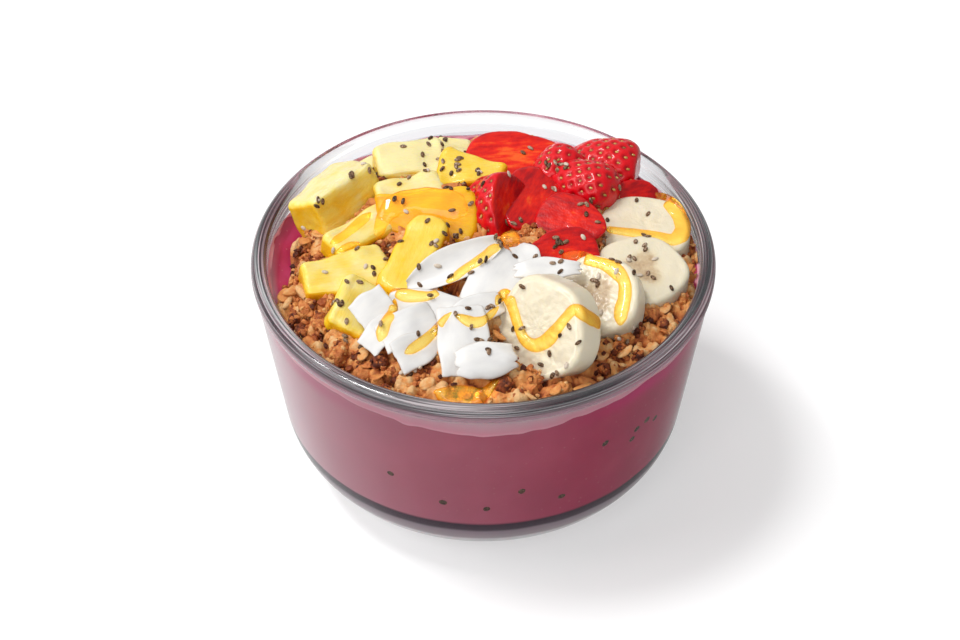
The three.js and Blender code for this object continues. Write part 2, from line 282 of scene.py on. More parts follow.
def new_piece(
    name, points, faces, material, replaced=(), attributes=None, lies_under=True, smooth=True
):
    """One mesh object from points in millimetres, riding on the part's only body. What has to
    lie on it later finds it in the list of what is shown."""
    piece = into_scene(name, bpy.data.meshes.new(name))
    mesh = piece.data
    mesh.from_pydata((np.asarray(points) / 1000).tolist(), [], faces)
    mesh.polygons.foreach_set("use_smooth", np.full(len(mesh.polygons), smooth))
    for key, values in (attributes or {}).items():
        values = np.asarray(values, np.float32)
        kind, field = ("FLOAT", "value") if values.ndim == 1 else ("FLOAT_VECTOR", "vector")
        mesh.attributes.new(key, kind, "POINT").data.foreach_set(field, values.ravel())
    mesh.materials.append(material)
    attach(piece, "root")
    if replaced:
        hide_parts(*replaced)
    if lies_under:
        shown.append((points, faces))
    return piece


def travelled(line):
    """How far along a line of points each of them is."""
    return np.append(0, np.cumsum(np.linalg.norm(np.diff(line, axis=0), axis=1)))


def soft_step(value, low, high):
    """0 below low, 1 above high, and 3t^2 - 2t^3 between."""
    share = np.clip((value - low) / (high - low), 0, 1)
    return share * share * (3 - 2 * share)


def mesh_value(owner, name, output="Fac"):
    """What the mesh carries at each point under a name."""
    return add_node(owner, "ShaderNodeAttribute", {}, attribute_name=name).outputs[output]


def speckle(owner, scale, place=None, **inputs):
    """Noise with a number of cells to each unit of the place, by default the object's own."""
    if place is None:
        place = add_node(owner, "ShaderNodeTexCoord", {}).outputs["Object"]
    return add_node(owner, "ShaderNodeTexNoise", {"Vector": place, "Scale": scale, **inputs}).outputs[0]


def add_bump(material, height, strength, distance):
    """Shades the surface as if it were raised where the height is high."""
    inputs = {"Height": height, "Strength": strength, "Distance": distance}
    link(material, add_node(material, "ShaderNodeBump", inputs).outputs[0], "Normal")


glass_outline = np.concatenate([
    side_outline(0, 0),
    arc(BEAD_RADIUS, RIM_PLANE - BEAD_HEIGHT / 2, BEAD_WIDTH / 2, BEAD_HEIGHT / 2, -45, 90, 18),
    arc(BEAD_RADIUS, RIM_PLANE - 2, BEAD_WIDTH / 2, 2, 96, 180, 12),
    side_outline(WALL, FLOOR_THICK)[::-1],
])
ring, _ = circle(GLASS_STEPS)
rings = np.stack([ring_at(ring, r, z) for r, z in glass_outline[1:-1]])
points, faces = close_rings(rings, (0, 0, 0), (0, 0, FLOOR_THICK))
around = np.arctan2(points[:, 1], points[:, 0])
along = np.append(np.repeat(travelled(glass_outline[1:-1]), GLASS_STEPS), [0, 0])
outer_side = np.hypot(points[:, 0], points[:, 1]) > BEAD_RADIUS
low_on_bead = soft_step(WALL_TOP + 4.4 - points[:, 2], 0, 1.5)
layers = {
    "profile": np.column_stack([1.5 * along, 1.2 * np.cos(around), 1.2 * np.sin(around)]),
    "clear": soft_step(np.sin(around), 0.3, 0.75),
    "back": soft_step(np.sin(around), 0.25, 0.6) * soft_step(points[:, 2], 62, 70),
    # painted refraction: the pink of the puree showing through the lower front of the bead
    "painted_puree_refraction": 0.75 * outer_side * low_on_bead * soft_step(-np.sin(around), 0.1, 0.6),
}

glass = new_material("clear_glass", Transmission_Weight=1.0, IOR=1.5)
link(glass, to_range(glass, speckle(glass, 45, Detail=4), 0.45, 0.75, 0.0, 0.05), "Roughness")
add_bump(glass, speckle(glass, 22, Detail=1), 0.05, 0.002)
# painted shade: the upper back of the wall is tinted grey
painted_shade_wall_stops = [(0.0, 0.985, 0.99, 0.99), (1.0, 0.70, 0.71, 0.735)]
link(glass, add_ramp(glass, mesh_value(glass, "back"), painted_shade_wall_stops), "Base Color")

rim_glass = new_material("rim_glass", IOR=1.5, Roughness=0.08)
# painted reflections: fine dark and bright lines round the bead, fading out towards the back
lines = speckle(rim_glass, 1.0, mesh_value(rim_glass, "profile", "Vector"), Detail=2)
painted_streak_colour = add_ramp(rim_glass, lines, [
    (0.38, 0.04, 0.042, 0.046),
    (0.49, 0.14, 0.144, 0.15),
    (0.58, 0.34, 0.345, 0.355),
    (0.66, 0.9, 0.9, 0.91),
])
clear = mesh_value(rim_glass, "clear")
rim_colour = blend(rim_glass, clear, painted_streak_colour, (0.97, 0.975, 0.98, 1))
rim_colour = blend(rim_glass, mesh_value(rim_glass, "painted_puree_refraction"), rim_colour, (0.46, 0.28, 0.34, 1))
link(rim_glass, rim_colour, "Base Color")
link(rim_glass, to_range(rim_glass, clear, 0, 1, 0.55, 1.0), "Transmission Weight")

bowl = new_piece("clear_bowl", points, faces, glass, ["glass_bowl"], layers, lies_under=False)
bowl.data.materials.append(rim_glass)
middle_z = np.array([points[face, 2].mean() for face in faces])
bowl.data.polygons.foreach_set("material_index", (middle_z > WALL_TOP + 1.6).astype(np.int32))

# ---------------------------------------- puree
# Thick blended dragon fruit and berries. It fills the bowl to about a centimetre below the rim,
# creeps up the glass as a thin pale film, carries a painted reflection of the bright floor on its
# left front side, and has painted shade underneath, where the glass corner bends the light, with a
# paler band and a painted bright reflection along its lowest edge.
PUREE_DEPTH = 12.0
PUREE_CLIMB = 5.5
INTO_WALL = 0.25
PUREE_STEPS = 288
FILM_TOP = RIM_PLANE - 6.3  # in front; at the back it stands a little above the surface
NO_FILM = -5  # a rise so far below the film's foot that none of it shows
SKIRT_TOP = 60  # up to here the side follows the bowl's outline point by point
# painted shade: the underside is coloured dark from here down
UNDER_TOP = 22.4  # where the dark underside begins
UNDER_FADE = 11


def noise(points, cell, seed=0):
    """Smooth noise from -1 to 1: each corner of a grid of cubes holds a fixed random value, and
    inside a cube the eight values are blended by 3t^2 - 2t^3 along each axis."""
    place = np.asarray(points, float) / cell
    base = np.floor(place).astype(np.int64)
    share = place - base
    share = share * share * (3 - 2 * share)
    total = np.zeros(len(place))
    for corner in range(8):
        step = np.array([corner & 1, corner >> 1 & 1, corner >> 2 & 1])
        key = (base + step) @ np.array([73856093, 19349663, 83492791]) + seed * 26544357
        key = (key ^ (key >> 13)) * 1274126177 & 0xFFFFFFFF
        key = (key ^ (key >> 15)) * 2246822519 & 0xFFFFFFFF
        value = ((key ^ (key >> 16)) & 0xFFFF) / 32767.5 - 1
        total += value * np.prod(np.where(step, share, 1 - share), axis=1)
    return total


def waves(points, seed, *sizes):
    """Noises of the given (height, cell) sizes, summed. Each has the next seed."""
    return sum(height * noise(points, cell, seed + k) for k, (height, cell) in enumerate(sizes))


def puree_top(x, y):
    """Height of the surface: a flat middle that climbs with the sixth power of the radius, least
    in front and less at the back, with slow waves half a millimetre high."""
    far = np.maximum(np.hypot(x, y), 1e-6)
    in_front = np.maximum(0, -y / far)
    behind = np.maximum(0, y / far)
    climb = PUREE_CLIMB * (1 - 0.8 * in_front**6 - 0.35 * behind**2)
    slow = np.sin(x * 0.17 + 0.6) * np.cos(y * 0.13 - 0.4) + 0.5 * np.sin(x * 0.31 - y * 0.27)
    return RIM_PLANE - PUREE_DEPTH + climb * (far / INNER_RIM) ** 6 + 0.5 * slow


ring, _ = circle(PUREE_STEPS)
round_noise = ring_at(ring, 40, 0)  # a closed line through the noise
rim_level = puree_top(*(INNER_RIM * ring).T)
edge = rim_level + waves(round_noise, 1, (0.7, 9), (0.35, 3.5))
in_front = soft_step(-ring[:, 1], 0.2, 0.6)
film = edge + 0.8 + in_front * (FILM_TOP - edge) + 0.5 * noise(round_noise, 5, 3) * (1 - in_front)
film = np.maximum(film, edge + 0.3)
skirt = side_outline(WALL - INTO_WALL, FLOOR_THICK - INTO_WALL)
skirt = skirt[skirt[:, 1] < SKIRT_TOP]
foot = skirt[-1, 1]
rings = [ring_at(ring, r, z) for r, z in skirt[1:]]
up_wall = [foot + share * (edge - foot) for share in np.linspace(0, 1, 22)[1:]]
up_film = [edge + share * (film - edge) for share in (0.3, 0.6, 0.85, 1.0)]
rings += [ring_at(ring, wall_radius(z, WALL - INTO_WALL), z) for z in up_wall + up_film]
for inward, share in ((0.15, 1.0), (0.3, 0.9), (0.4, 0.55), (0.55, 0.2), (1.1, 0.0)):
    z = edge + share * (film - edge)
    rings.append(ring_at(ring, wall_radius(z) - inward, z))
side_points = len(rings) * PUREE_STEPS
for r in np.concatenate([np.linspace(66.5, 50, 26), np.linspace(47, 3, 14)]):
    level = ring_at(ring, r, 0)
    lump = waves(level, 4, (0.55, 6), (0.25, 2.4))
    lift = soft_step(r, 58, 67) * (edge - rim_level)
    rings.append(ring_at(ring, r, puree_top(level[:, 0], level[:, 1]) + lump + lift))
rings = np.stack(rings)
points, faces = close_rings(rings, (0, 0, skirt[0, 1]), (0, 0, rings[-1, :, 2].mean()))

film_foot = edge - 2.6 * in_front + 0.5 * noise(round_noise, 2.2, 7)
film_rise = np.append(points[:-2, 2] - np.tile(film_foot, len(rings)), [NO_FILM, NO_FILM])
film_rise[side_points:] = NO_FILM
low_wave = 0.35 * noise(points, 8, 6)
turn = np.arctan2(points[:, 1], points[:, 0])
# a brighter magenta streak just below the film's foot, strongest on the right front and weaker on the left
# front
side_share = np.exp(-(((turn + 0.75) / 0.3) ** 2)) + 0.5 * np.exp(-(((turn + 2.5) / 0.3) ** 2))
# painted reflection of the bright floor, strongest on the left front of the side
painted_floor_reflection = np.interp(-np.cos(turn), [-0.5, 0, 0.3, 0.73, 0.9], [0.02, 0.22, 0.29, 0.5, 0.7])
painted_floor_reflection = 0.12 + (painted_floor_reflection - 0.12) * soft_step(-np.sin(turn), -0.2, 0.3)
painted_floor_reflection[side_points:] = 0
layers = {
    "film": film_rise,
    "under": np.clip((UNDER_TOP - points[:, 2] - low_wave) / UNDER_FADE, 0, 1),
    "magenta_streak": np.clip(side_share * np.exp(-(((film_rise + 2) / 4) ** 2)) * (1 + 0.5 * low_wave), 0, 1),
    "painted_floor_reflection": painted_floor_reflection,
    "wet": np.where(np.arange(len(points)) < side_points, 0.08, 0.5),
}


def weigh(owner, value, weight, plus=0.0):
    """value * weight + plus."""
    inputs = {0: value, 1: weight, 2: plus}
    return add_node(owner, "ShaderNodeMath", inputs, operation="MULTIPLY_ADD").outputs[0]


puree = new_material(
    "fruit_puree", Roughness=0.34, IOR=1.4, Subsurface_Weight=0.25, Subsurface_Scale=0.004,
    Subsurface_Radius=(1.0, 0.25, 0.35),
)
cloud = weigh(puree, speckle(puree, 60, Detail=5), 0.5)
shade = weigh(puree, speckle(puree, 14, Detail=2, Distortion=1.0), 0.5, cloud)
body_stops = [(0.2, 0.41, 0.016, 0.085), (0.5, 0.50, 0.032, 0.11), (0.8, 0.60, 0.07, 0.16)]
puree_colour = add_ramp(puree, shade, body_stops)
puree_colour = blend(puree, mesh_value(puree, "painted_floor_reflection"), puree_colour, (0.72, 0.52, 0.58, 1))
place = add_node(puree, "ShaderNodeTexCoord", {}).outputs["Object"]
from_speck = add_node(puree, "ShaderNodeTexVoronoi", {"Vector": place, "Scale": 300}).outputs["Distance"]
speck = to_range(puree, from_speck, 0.07, 0.11, 0.4, 0.0)
puree_colour = blend(puree, speck, puree_colour, (0.62, 0.24, 0.28, 1))
puree_colour = blend(puree, mesh_value(puree, "magenta_streak"), puree_colour, (0.66, 0.015, 0.17, 1))
rise = mesh_value(puree, "film")
film_stops = [(0.0, 0.95, 0.48, 0.57), (0.2, 0.88, 0.39, 0.49), (1.0, 0.90, 0.55, 0.62)]
film_colour = add_ramp(puree, to_range(puree, rise, 0.2, 6.0), film_stops)
puree_colour = blend(puree, to_range(puree, rise, 0.0, 0.35), puree_colour, film_colour)
under = mesh_value(puree, "under")
# painted shade underneath: a dark band, then a paler band, and a painted bright reflection at the lowest
# edge
painted_underside_shade_and_glint = add_ramp(puree, under, [
    (0.0, 0.05, 0.02, 0.04),
    (0.32, 0.075, 0.045, 0.07),
    (0.44, 0.36, 0.28, 0.33),
    (0.8, 0.46, 0.38, 0.42),
    (0.9, 0.9, 0.86, 0.88),
])
puree_colour = blend(puree, to_range(puree, under, 0.0, 0.06), puree_colour, painted_underside_shade_and_glint)
link(puree, puree_colour, "Base Color")
link(puree, mesh_value(puree, "wet"), "Specular IOR Level")
add_bump(puree, speckle(puree, 700, Detail=3), 0.03, 0.0005)
new_piece("fruit_puree", points, faces, puree, ["puree"], layers)

# ---------------------------------------- pineapple
# Ripe flesh cut from rings. Each chunk is a wedge, narrow at the core and wide and rounded at
# the rind, with radial fibres that show as fine ridges and pale streaks, and a wet surface. Its
# colour is painted paler where a face turns up, as painted light.
EDGE_ROUND = 2.5
GLASS_GAP = 0.3  # least distance of the food from the glass


def keep_inside(points):
    """Pulls points in towards the axis until they clear the glass."""
    radius = np.hypot(points[:, 0], points[:, 1])
    most = wall_radius(points[:, 2], WALL + GLASS_GAP)
    points[:, :2] *= np.minimum(1, most / np.maximum(radius, 1e-6))[:, None]
    return points


def cube_skin(count):
    """Points and quads of a cube from -1 to 1, the points packed closer towards its edges as
    sin(pi t / 2), with the seams between its six faces shared."""
    line = np.sin(np.linspace(-1, 1, count + 1) * math.pi / 2)
    u, v = np.meshgrid(line, line, indexing="ij")
    u, v = u.ravel(), v.ravel()
    i, j = np.meshgrid(np.arange(count), np.arange(count), indexing="ij")
    a = (i * (count + 1) + j).ravel()
    quads = np.stack([a, a + count + 1, a + count + 2, a + 1], 1)
    points = []
    faces = []
    for axis in range(3):
        for side in (-1, 1):
            face = np.empty((len(u), 3))
            face[:, axis] = side
            face[:, (axis + 1) % 3] = u
            face[:, (axis + 2) % 3] = v
            faces.append((quads if side > 0 else quads[:, ::-1]) + len(points) * len(u))
            points.append(face)
    points = np.concatenate(points)
    _, first, back = np.unique(np.round(points, 6), axis=0, return_index=True, return_inverse=True)
    return points[first], back.ravel()[np.concatenate(faces)]


def turning(piece):
    """How a piece of a list is rotated: rolled about Y, then tilted about X, then turned about Z."""
    a, b, c = np.radians([piece.get(key, 0) for key in ("turn", "tilt", "roll")])
    about_z = np.array([[math.cos(a), -math.sin(a), 0], [math.sin(a), math.cos(a), 0], [0, 0, 1]])
    about_x = np.array([[1, 0, 0], [0, math.cos(b), -math.sin(b)], [0, math.sin(b), math.cos(b)]])
    about_y = np.array([[math.cos(c), 0, math.sin(c)], [0, 1, 0], [-math.sin(c), 0, math.cos(c)]])
    return (about_z @ about_x @ about_y).T


def placed(points, piece):
    """A piece's own points in the bowl. The height of its middle counts from the rim plane."""
    return points @ turning(piece) + (np.array(piece["at"]) + [0, 0, RIM_PLANE])


def unit(vectors):
    """Vectors of the same direction, one long."""
    return vectors / np.linalg.norm(vectors, axis=-1, keepdims=True)


def pineapple_chunk(cube, long, narrow, wide, thick, seed):
    """A wedge from a cube: each point is clamped to an inner box and pushed out by the edge
    round, the width grows along X, the rind end bulges, and fibres ripple along X."""
    half = np.array([long, wide, thick]) / 2
    box = cube * half
    core = np.clip(box, -(half - EDGE_ROUND), half - EDGE_ROUND)
    out = unit(box - core)
    rounding = EDGE_ROUND * (1 + 0.25 * noise(box, 6, seed))
    points = core + out * rounding[:, None]
    along = np.clip((points[:, 0] + half[0]) / (0.93 * long), 0, 1)
    points[:, 1] *= (narrow + (wide - narrow) * along) / wide
    across = np.clip(points[:, 1] / half[1], -1, 1)
    points[:, 0] -= 0.09 * long * across**2 * soft_step(points[:, 0] / half[0], 0, 1)
    broad = waves(points, seed + 1, (0.6, 9), (0.2, 4))
    fibre = waves(points * [0.16, 0.9, 0.9], seed + 3, (0.13, 1.4), (0.05, 0.6))
    return points + out * (broad + fibre)[:, None] - out * 0.25


def sizes_of(piece, other=None):
    """A piece's sizes: what its line says apart from its place and one other value."""
    return {key: value for key, value in piece.items() if key not in ("at", "turn", "tilt", "roll", other)}


def lay(family, form, number, piece, own_points, faces, material, **values):
    """One piece of a family, put in its place in the bowl and kept inside the glass. Its colours
    follow its own points, moved away from the other pieces' so that no two look the same."""
    points = keep_inside(placed(own_points, piece))
    values["own"] = own_points + 40 * number
    replaced = [f"{family}_{number:02d}"]
    new_piece(f"{family}_{form}_{number:02d}", points, faces, material, replaced, values)


pineapple = new_material(
    "pineapple_flesh", Roughness=0.27, IOR=1.38, Coat_Weight=0.25, Coat_Roughness=0.12,
    Subsurface_Weight=0.35, Subsurface_Scale=0.004, Subsurface_Radius=(1.0, 0.75, 0.2),
)


def stretched(material, own, scale):
    """A piece's own place, shortened along its length so that noise runs that way."""
    return add_node(material, "ShaderNodeMapping", {"Vector": own, "Scale": (scale, 1, 1)}).outputs[0]


own = mesh_value(pineapple, "own", "Vector")
fibres = stretched(pineapple, own, 0.12)
# painted light: faces turned up are made paler, faces turned down deeper golden
facing = add_node(pineapple, "ShaderNodeNewGeometry", {}).outputs["Normal"]
painted_top_light = add_node(pineapple, "ShaderNodeSeparateXYZ", {0: facing}).outputs["Z"]
streak = speckle(pineapple, 0.9, fibres, Detail=5, Roughness=0.6)
flesh = weigh(pineapple, streak, 0.22, mesh_value(pineapple, "pale"))
flesh = weigh(pineapple, speckle(pineapple, 0.16, own, Detail=2), 0.5, flesh)
flesh = weigh(pineapple, flesh, 1, to_range(pineapple, painted_top_light, 0.1, 0.95, -0.1, 0.32))
pineapple_colour = add_ramp(pineapple, flesh, [
    (0.1, 0.84, 0.38, 0.002),
    (0.35, 0.88, 0.53, 0.01),
    (0.6, 0.87, 0.66, 0.12),
    (0.85, 0.86, 0.76, 0.38),
])
link(pineapple, pineapple_colour, "Base Color")
add_bump(pineapple, speckle(pineapple, 2.6, fibres, Detail=4), 0.45, 0.0006)

PINEAPPLE = [
    dict(at=(-48.3, 24.2, -0.6), turn=54, tilt=-28, long=30, narrow=14, wide=21, thick=17, pale=0.13),
    dict(at=(-24, 42, -1), turn=10, tilt=6, long=25, narrow=15, wide=20, thick=13, pale=0.25),
    dict(at=(-4, 33, 2.5), turn=170, tilt=-12, long=24, narrow=8, wide=18, thick=11, pale=-0.2),
    dict(at=(-18, 12, 2), turn=-3, tilt=34, long=35, narrow=13, wide=21, thick=14, pale=-0.42),
    dict(at=(-21.3, -9, 1.8), turn=67, roll=-13, long=34, narrow=15, wide=14, thick=13, pale=-0.18),
    dict(at=(-43.5, -13, -2.5), turn=15, tilt=14, long=29, narrow=13, wide=19, thick=13, pale=-0.05),
    dict(at=(-40, -29.5, -2), turn=70, tilt=20, roll=-10, long=21, narrow=14, wide=18, thick=13, pale=0),
    dict(at=(-39, 5, 0), turn=42, tilt=10, long=28, narrow=11, wide=14, thick=13, pale=0.05),
    dict(at=(-37, 47, -6), turn=30, long=15, narrow=8, wide=11, thick=9, pale=0.15),
    dict(at=(-10, 54, -3), turn=-10, long=14, narrow=8, wide=10, thick=8, pale=0.15),
    dict(at=(-24, 24.5, 0.5), turn=12, tilt=8, long=24, narrow=12, wide=15, thick=11, pale=0.08),
]
cube, cube_faces = cube_skin(38)
for number, chunk in enumerate(PINEAPPLE, 1):
    own_points = pineapple_chunk(cube, seed=number * 10, **sizes_of(chunk, "pale"))
    pale = np.full(len(own_points), chunk["pale"])
    lay("pineapple", "chunk", number, chunk, own_points, cube_faces.tolist(), pineapple, pale=pale)

# ---------------------------------------- strawberries
# Halved and sliced berries. The skin is glossy crimson, dimpled round its pale seeds; the cut
# flesh is flat, wet and lighter red, with fine rays and a soft edge where the knife left it.
SEED_APART = 3.4
SEED_SIZE = np.array([0.78, 0.46, 0.32])
SEED_SUNK = 0.48
WIDEST = 0.66
GOLDEN_ANGLE = 2.39996
CUT_EDGE = 0.45  # how soft the edge is between skin and cut
DIMPLE_RADIUS = 1.1
DIMPLE_DEPTH = 0.6


def ball(level):
    """Points and triangles of a round ball of radius 1."""
    shape = bmesh.new()
    bmesh.ops.create_icosphere(shape, subdivisions=level, radius=1)
    points = np.array([vertex.co[:] for vertex in shape.verts])
    faces = np.array([[vertex.index for vertex in face.verts] for face in shape.faces])
    shape.free()
    return points, faces


def copies(shape, faces, places, frames, sizes):
    """Copies of one shape, joined: each is scaled along its own axes, turned and moved."""
    points = np.einsum("nij,nvj->nvi", frames, shape[None] * sizes[:, None, :]) + places[:, None, :]
    offsets = (np.arange(len(places)) * len(shape))[:, None, None]
    joined = (faces[None] + offsets).reshape(-1, faces.shape[1])
    return points.reshape(-1, 3), joined.tolist()


def berry_profile(share):
    """Half width of a whole berry along its length, 1 at its widest: (1 - s^2.1)^0.72 towards
    the tip and (1 - s^2.6)^0.55 towards the shoulder, s running from 0 at the widest to 1."""
    below = np.clip(1 - share / WIDEST, 0, 1)
    above = np.clip((share - WIDEST) / (1 - WIDEST), 0, 1)
    return np.where(share < WIDEST, (1 - below**2.1) ** 0.72, (1 - above**2.6) ** 0.55)


def berry_values(points, long, radius, cuts):
    """Soft maximum of the skin value and the value of each cut (direction, offset), below zero
    inside, and the skin's share of it: k log(sum exp(v / k))."""
    share = np.clip(points[:, 0] / long + 0.5, 0, 1)
    skin = np.hypot(points[:, 1], points[:, 2]) - radius * berry_profile(share)
    skin = np.maximum(skin, np.abs(points[:, 0]) - long / 2)
    values = [skin]
    for away, offset in cuts:
        values.append(offset - points @ away + 0.35 * noise(points, 8, 61))
    values = np.stack(values) / CUT_EDGE
    top = values.max(0)
    total = np.exp(values - top).sum(0)
    return CUT_EDGE * (top + np.log(total)), np.exp(values[0] - top) / total


def berry_middle(radius, cuts):
    """A point well inside the cut berry: the axis moved along each cut's direction if need be."""
    middle = np.zeros(3)
    for away, offset in cuts:
        middle += away * max(0.0, offset + 0.4 * radius - middle @ away)
    return middle


def seed_spots(long, radius, cuts):
    """Seeds in a spiral on the skin: even steps of skin area along the axis, each a golden angle
    further round, and only where the knife has left the skin."""
    fine = np.linspace(0, 1, 400)
    area = np.cumsum(berry_profile(fine))
    count = int(2 * math.pi * radius * long * area[-1] / 400 / SEED_APART**2)
    share = np.interp((np.arange(count) + 0.5) / count, area / area[-1], fine)
    angle = np.arange(count) * GOLDEN_ANGLE
    across = radius * berry_profile(share)
    spots = np.stack([(share - 0.5) * long, across * np.cos(angle), across * np.sin(angle)], 1)
    outward = np.stack([0.35 * (share - 0.5) * 2, np.cos(angle), np.sin(angle)], 1)
    kept = np.ones(count, bool)
    for away, offset in cuts:
        kept &= spots @ away - offset > 0.9
    return spots[kept], unit(outward[kept])


def cut_berry(directions, long, radius, cuts, seed):
    """Points of a cut berry: from a middle inside it, each direction runs to where the soft
    maximum is zero, found by halving, and is then dented by exp(-(d/r)^2) round each seed."""
    middle = berry_middle(radius, cuts)
    near = np.zeros(len(directions))
    far = np.full(len(directions), long)
    for _ in range(26):
        half = (near + far) / 2
        value, _ = berry_values(middle + directions * half[:, None], long, radius, cuts)
        near = np.where(value < 0, half, near)
        far = np.where(value < 0, far, half)
    points = middle + directions * near[:, None]
    _, skin = berry_values(points, long, radius, cuts)
    spots, outward = seed_spots(long, radius, cuts)
    dimple = np.zeros(len(points))
    if len(spots):
        apart = np.sqrt(((points[:, None] - spots[None]) ** 2).sum(2).min(1))
        dimple = np.exp(-((apart / DIMPLE_RADIUS) ** 2)) * skin
    lumps = 0.4 * noise(points, 6, seed) * skin + 0.12 * noise(points, 1.6, seed + 1) * (1 - skin)
    pushed = points + directions * (lumps - DIMPLE_DEPTH * dimple + 0.1 * skin)[:, None]
    return pushed, skin, dimple, spots, outward


berry = new_material(
    "strawberry_flesh", Roughness=0.32, Specular_IOR_Level=0.3, IOR=1.35, Coat_Weight=0.45,
    Coat_Roughness=0.06, Subsurface_Weight=0.15, Subsurface_Scale=0.0015,
    Subsurface_Radius=(1.0, 0.15, 0.1),
)
own = mesh_value(berry, "own", "Vector")
ray = speckle(berry, 0.55, stretched(berry, own, 0.35), Detail=3, Roughness=0.5)
cut_colour = add_ramp(berry, weigh(berry, ray, 1, mesh_value(berry, "tone")), [
    (0.3, 0.34, 0.001, 0.005),
    (0.5, 0.56, 0.004, 0.004),
    (0.72, 0.76, 0.014, 0.003),
    (0.95, 0.86, 0.11, 0.012),
])
# painted shade: the skin is darker in the dimples round the seeds
skin_stops = [(0.1, 0.68, 0.003, 0.010), (0.9, 0.34, 0.001, 0.005)]
skin_with_painted_dimple_shade = add_ramp(berry, mesh_value(berry, "dimple"), skin_stops)
link(berry, blend(berry, mesh_value(berry, "skin"), cut_colour, skin_with_painted_dimple_shade), "Base Color")
add_bump(berry, speckle(berry, 1.6, own, Detail=3), 0.25, 0.0006)

FACE_UP = (np.array([0, 0, -1]), 0)
SKIN_UP = (np.array([0, 0, 1]), -3)
BLUNT = (np.array([-1, 0, 0]), -12)
ASLANT = (unit(np.array([0, 0.85, -0.53])), -3)
THIN = (np.array([0, 0, 1]), -4)
STRAWBERRIES = [
    dict(at=(11.5, 44, 3), turn=186, tilt=-10, long=35, radius=12, cuts=[FACE_UP], tone=0.1),
    dict(at=(40, 42, -2), turn=-12, long=30, radius=12, cuts=[BLUNT, SKIN_UP], tone=0.12),
    dict(at=(24, 34.5, 1.5), turn=48, roll=-6, long=23, radius=9.5, cuts=[SKIN_UP], tone=0.05),
    dict(at=(33, 27, 4), turn=-26, tilt=10, long=25, radius=9.5, cuts=[SKIN_UP], tone=-0.1),
    dict(at=(7, 12, 5), turn=74, roll=-16, long=25, radius=11.5, cuts=[ASLANT], tone=-0.1),
    dict(at=(28.5, 5.5, 7.2), turn=160, tilt=-18, long=24, radius=10, cuts=[FACE_UP], tone=-0.04),
    dict(at=(45, 22.5, 0), turn=22, tilt=40, long=29, radius=7, cuts=[FACE_UP, THIN], tone=-0.1),
    dict(at=(25, -9, 5.5), turn=12, tilt=24, long=25, radius=9.5, cuts=[FACE_UP], tone=-0.05),
    dict(at=(0.5, 22.5, 1.6), turn=30, long=17, radius=7.5, cuts=[SKIN_UP], tone=0.1),
    dict(at=(16, 17, 7), turn=66, tilt=14, long=31, radius=10.5, cuts=[FACE_UP], tone=-0.08),
]
directions, ball_faces = ball(6)
seed_places = []
seed_frames = []
for number, slice_ in enumerate(STRAWBERRIES, 1):
    sizes = sizes_of(slice_, "tone")
    own_points, skin, dimple, spots, outward = cut_berry(directions, seed=number * 10 + 200, **sizes)
    along = own_points[:, 0] / (0.24 * slice_["long"])
    across = own_points[:, 1] / (0.45 * slice_["radius"])
    tone = slice_["tone"] + 0.3 * np.exp(-(along**2) - across**2)
    values = {"skin": soft_step(skin, 0.25, 0.75), "dimple": dimple, "tone": tone}
    lay("strawberry", "slice", number, slice_, own_points, ball_faces.tolist(), berry, **values)
    if len(spots):
        normal = outward @ turning(slice_)
        to_tip = np.array([-1.0, 0, 0]) @ turning(slice_)
        along = unit(to_tip - normal * (normal @ to_tip)[:, None])
        seed_places.append(placed(spots - SEED_SUNK * outward, slice_))
        seed_frames.append(np.stack([along, np.cross(normal, along), normal], 2))

berry_seed = new_material("strawberry_seed", Roughness=0.35, Coat_Weight=0.3)
seed_colour = add_ramp(
    berry_seed,
    speckle(berry_seed, 260, Detail=2),
    [(0.3, 0.20, 0.07, 0.012), (0.5, 0.48, 0.27, 0.05), (0.7, 0.66, 0.48, 0.14)],
)
link(berry_seed, seed_colour, "Base Color")
shape, shape_faces = ball(1)
shape = shape * SEED_SIZE * (1 - 0.35 * shape[:, :1])
seed_places = np.concatenate(seed_places)
sizes = np.ones((len(seed_places), 3))
points, faces = copies(shape, shape_faces, seed_places, np.concatenate(seed_frames), sizes)
new_piece("strawberry_seeds", keep_inside(points), faces, berry_seed, lies_under=False)

# ---------------------------------------- banana
# Four slices of peeled banana, one of them thick and leaning on the rest. The peeled side is
# smooth and cream; the cut faces are wet and uneven, with a soft brownish three-part middle.
BANANA_STEPS = 160
BANANA_EDGE = 1.9


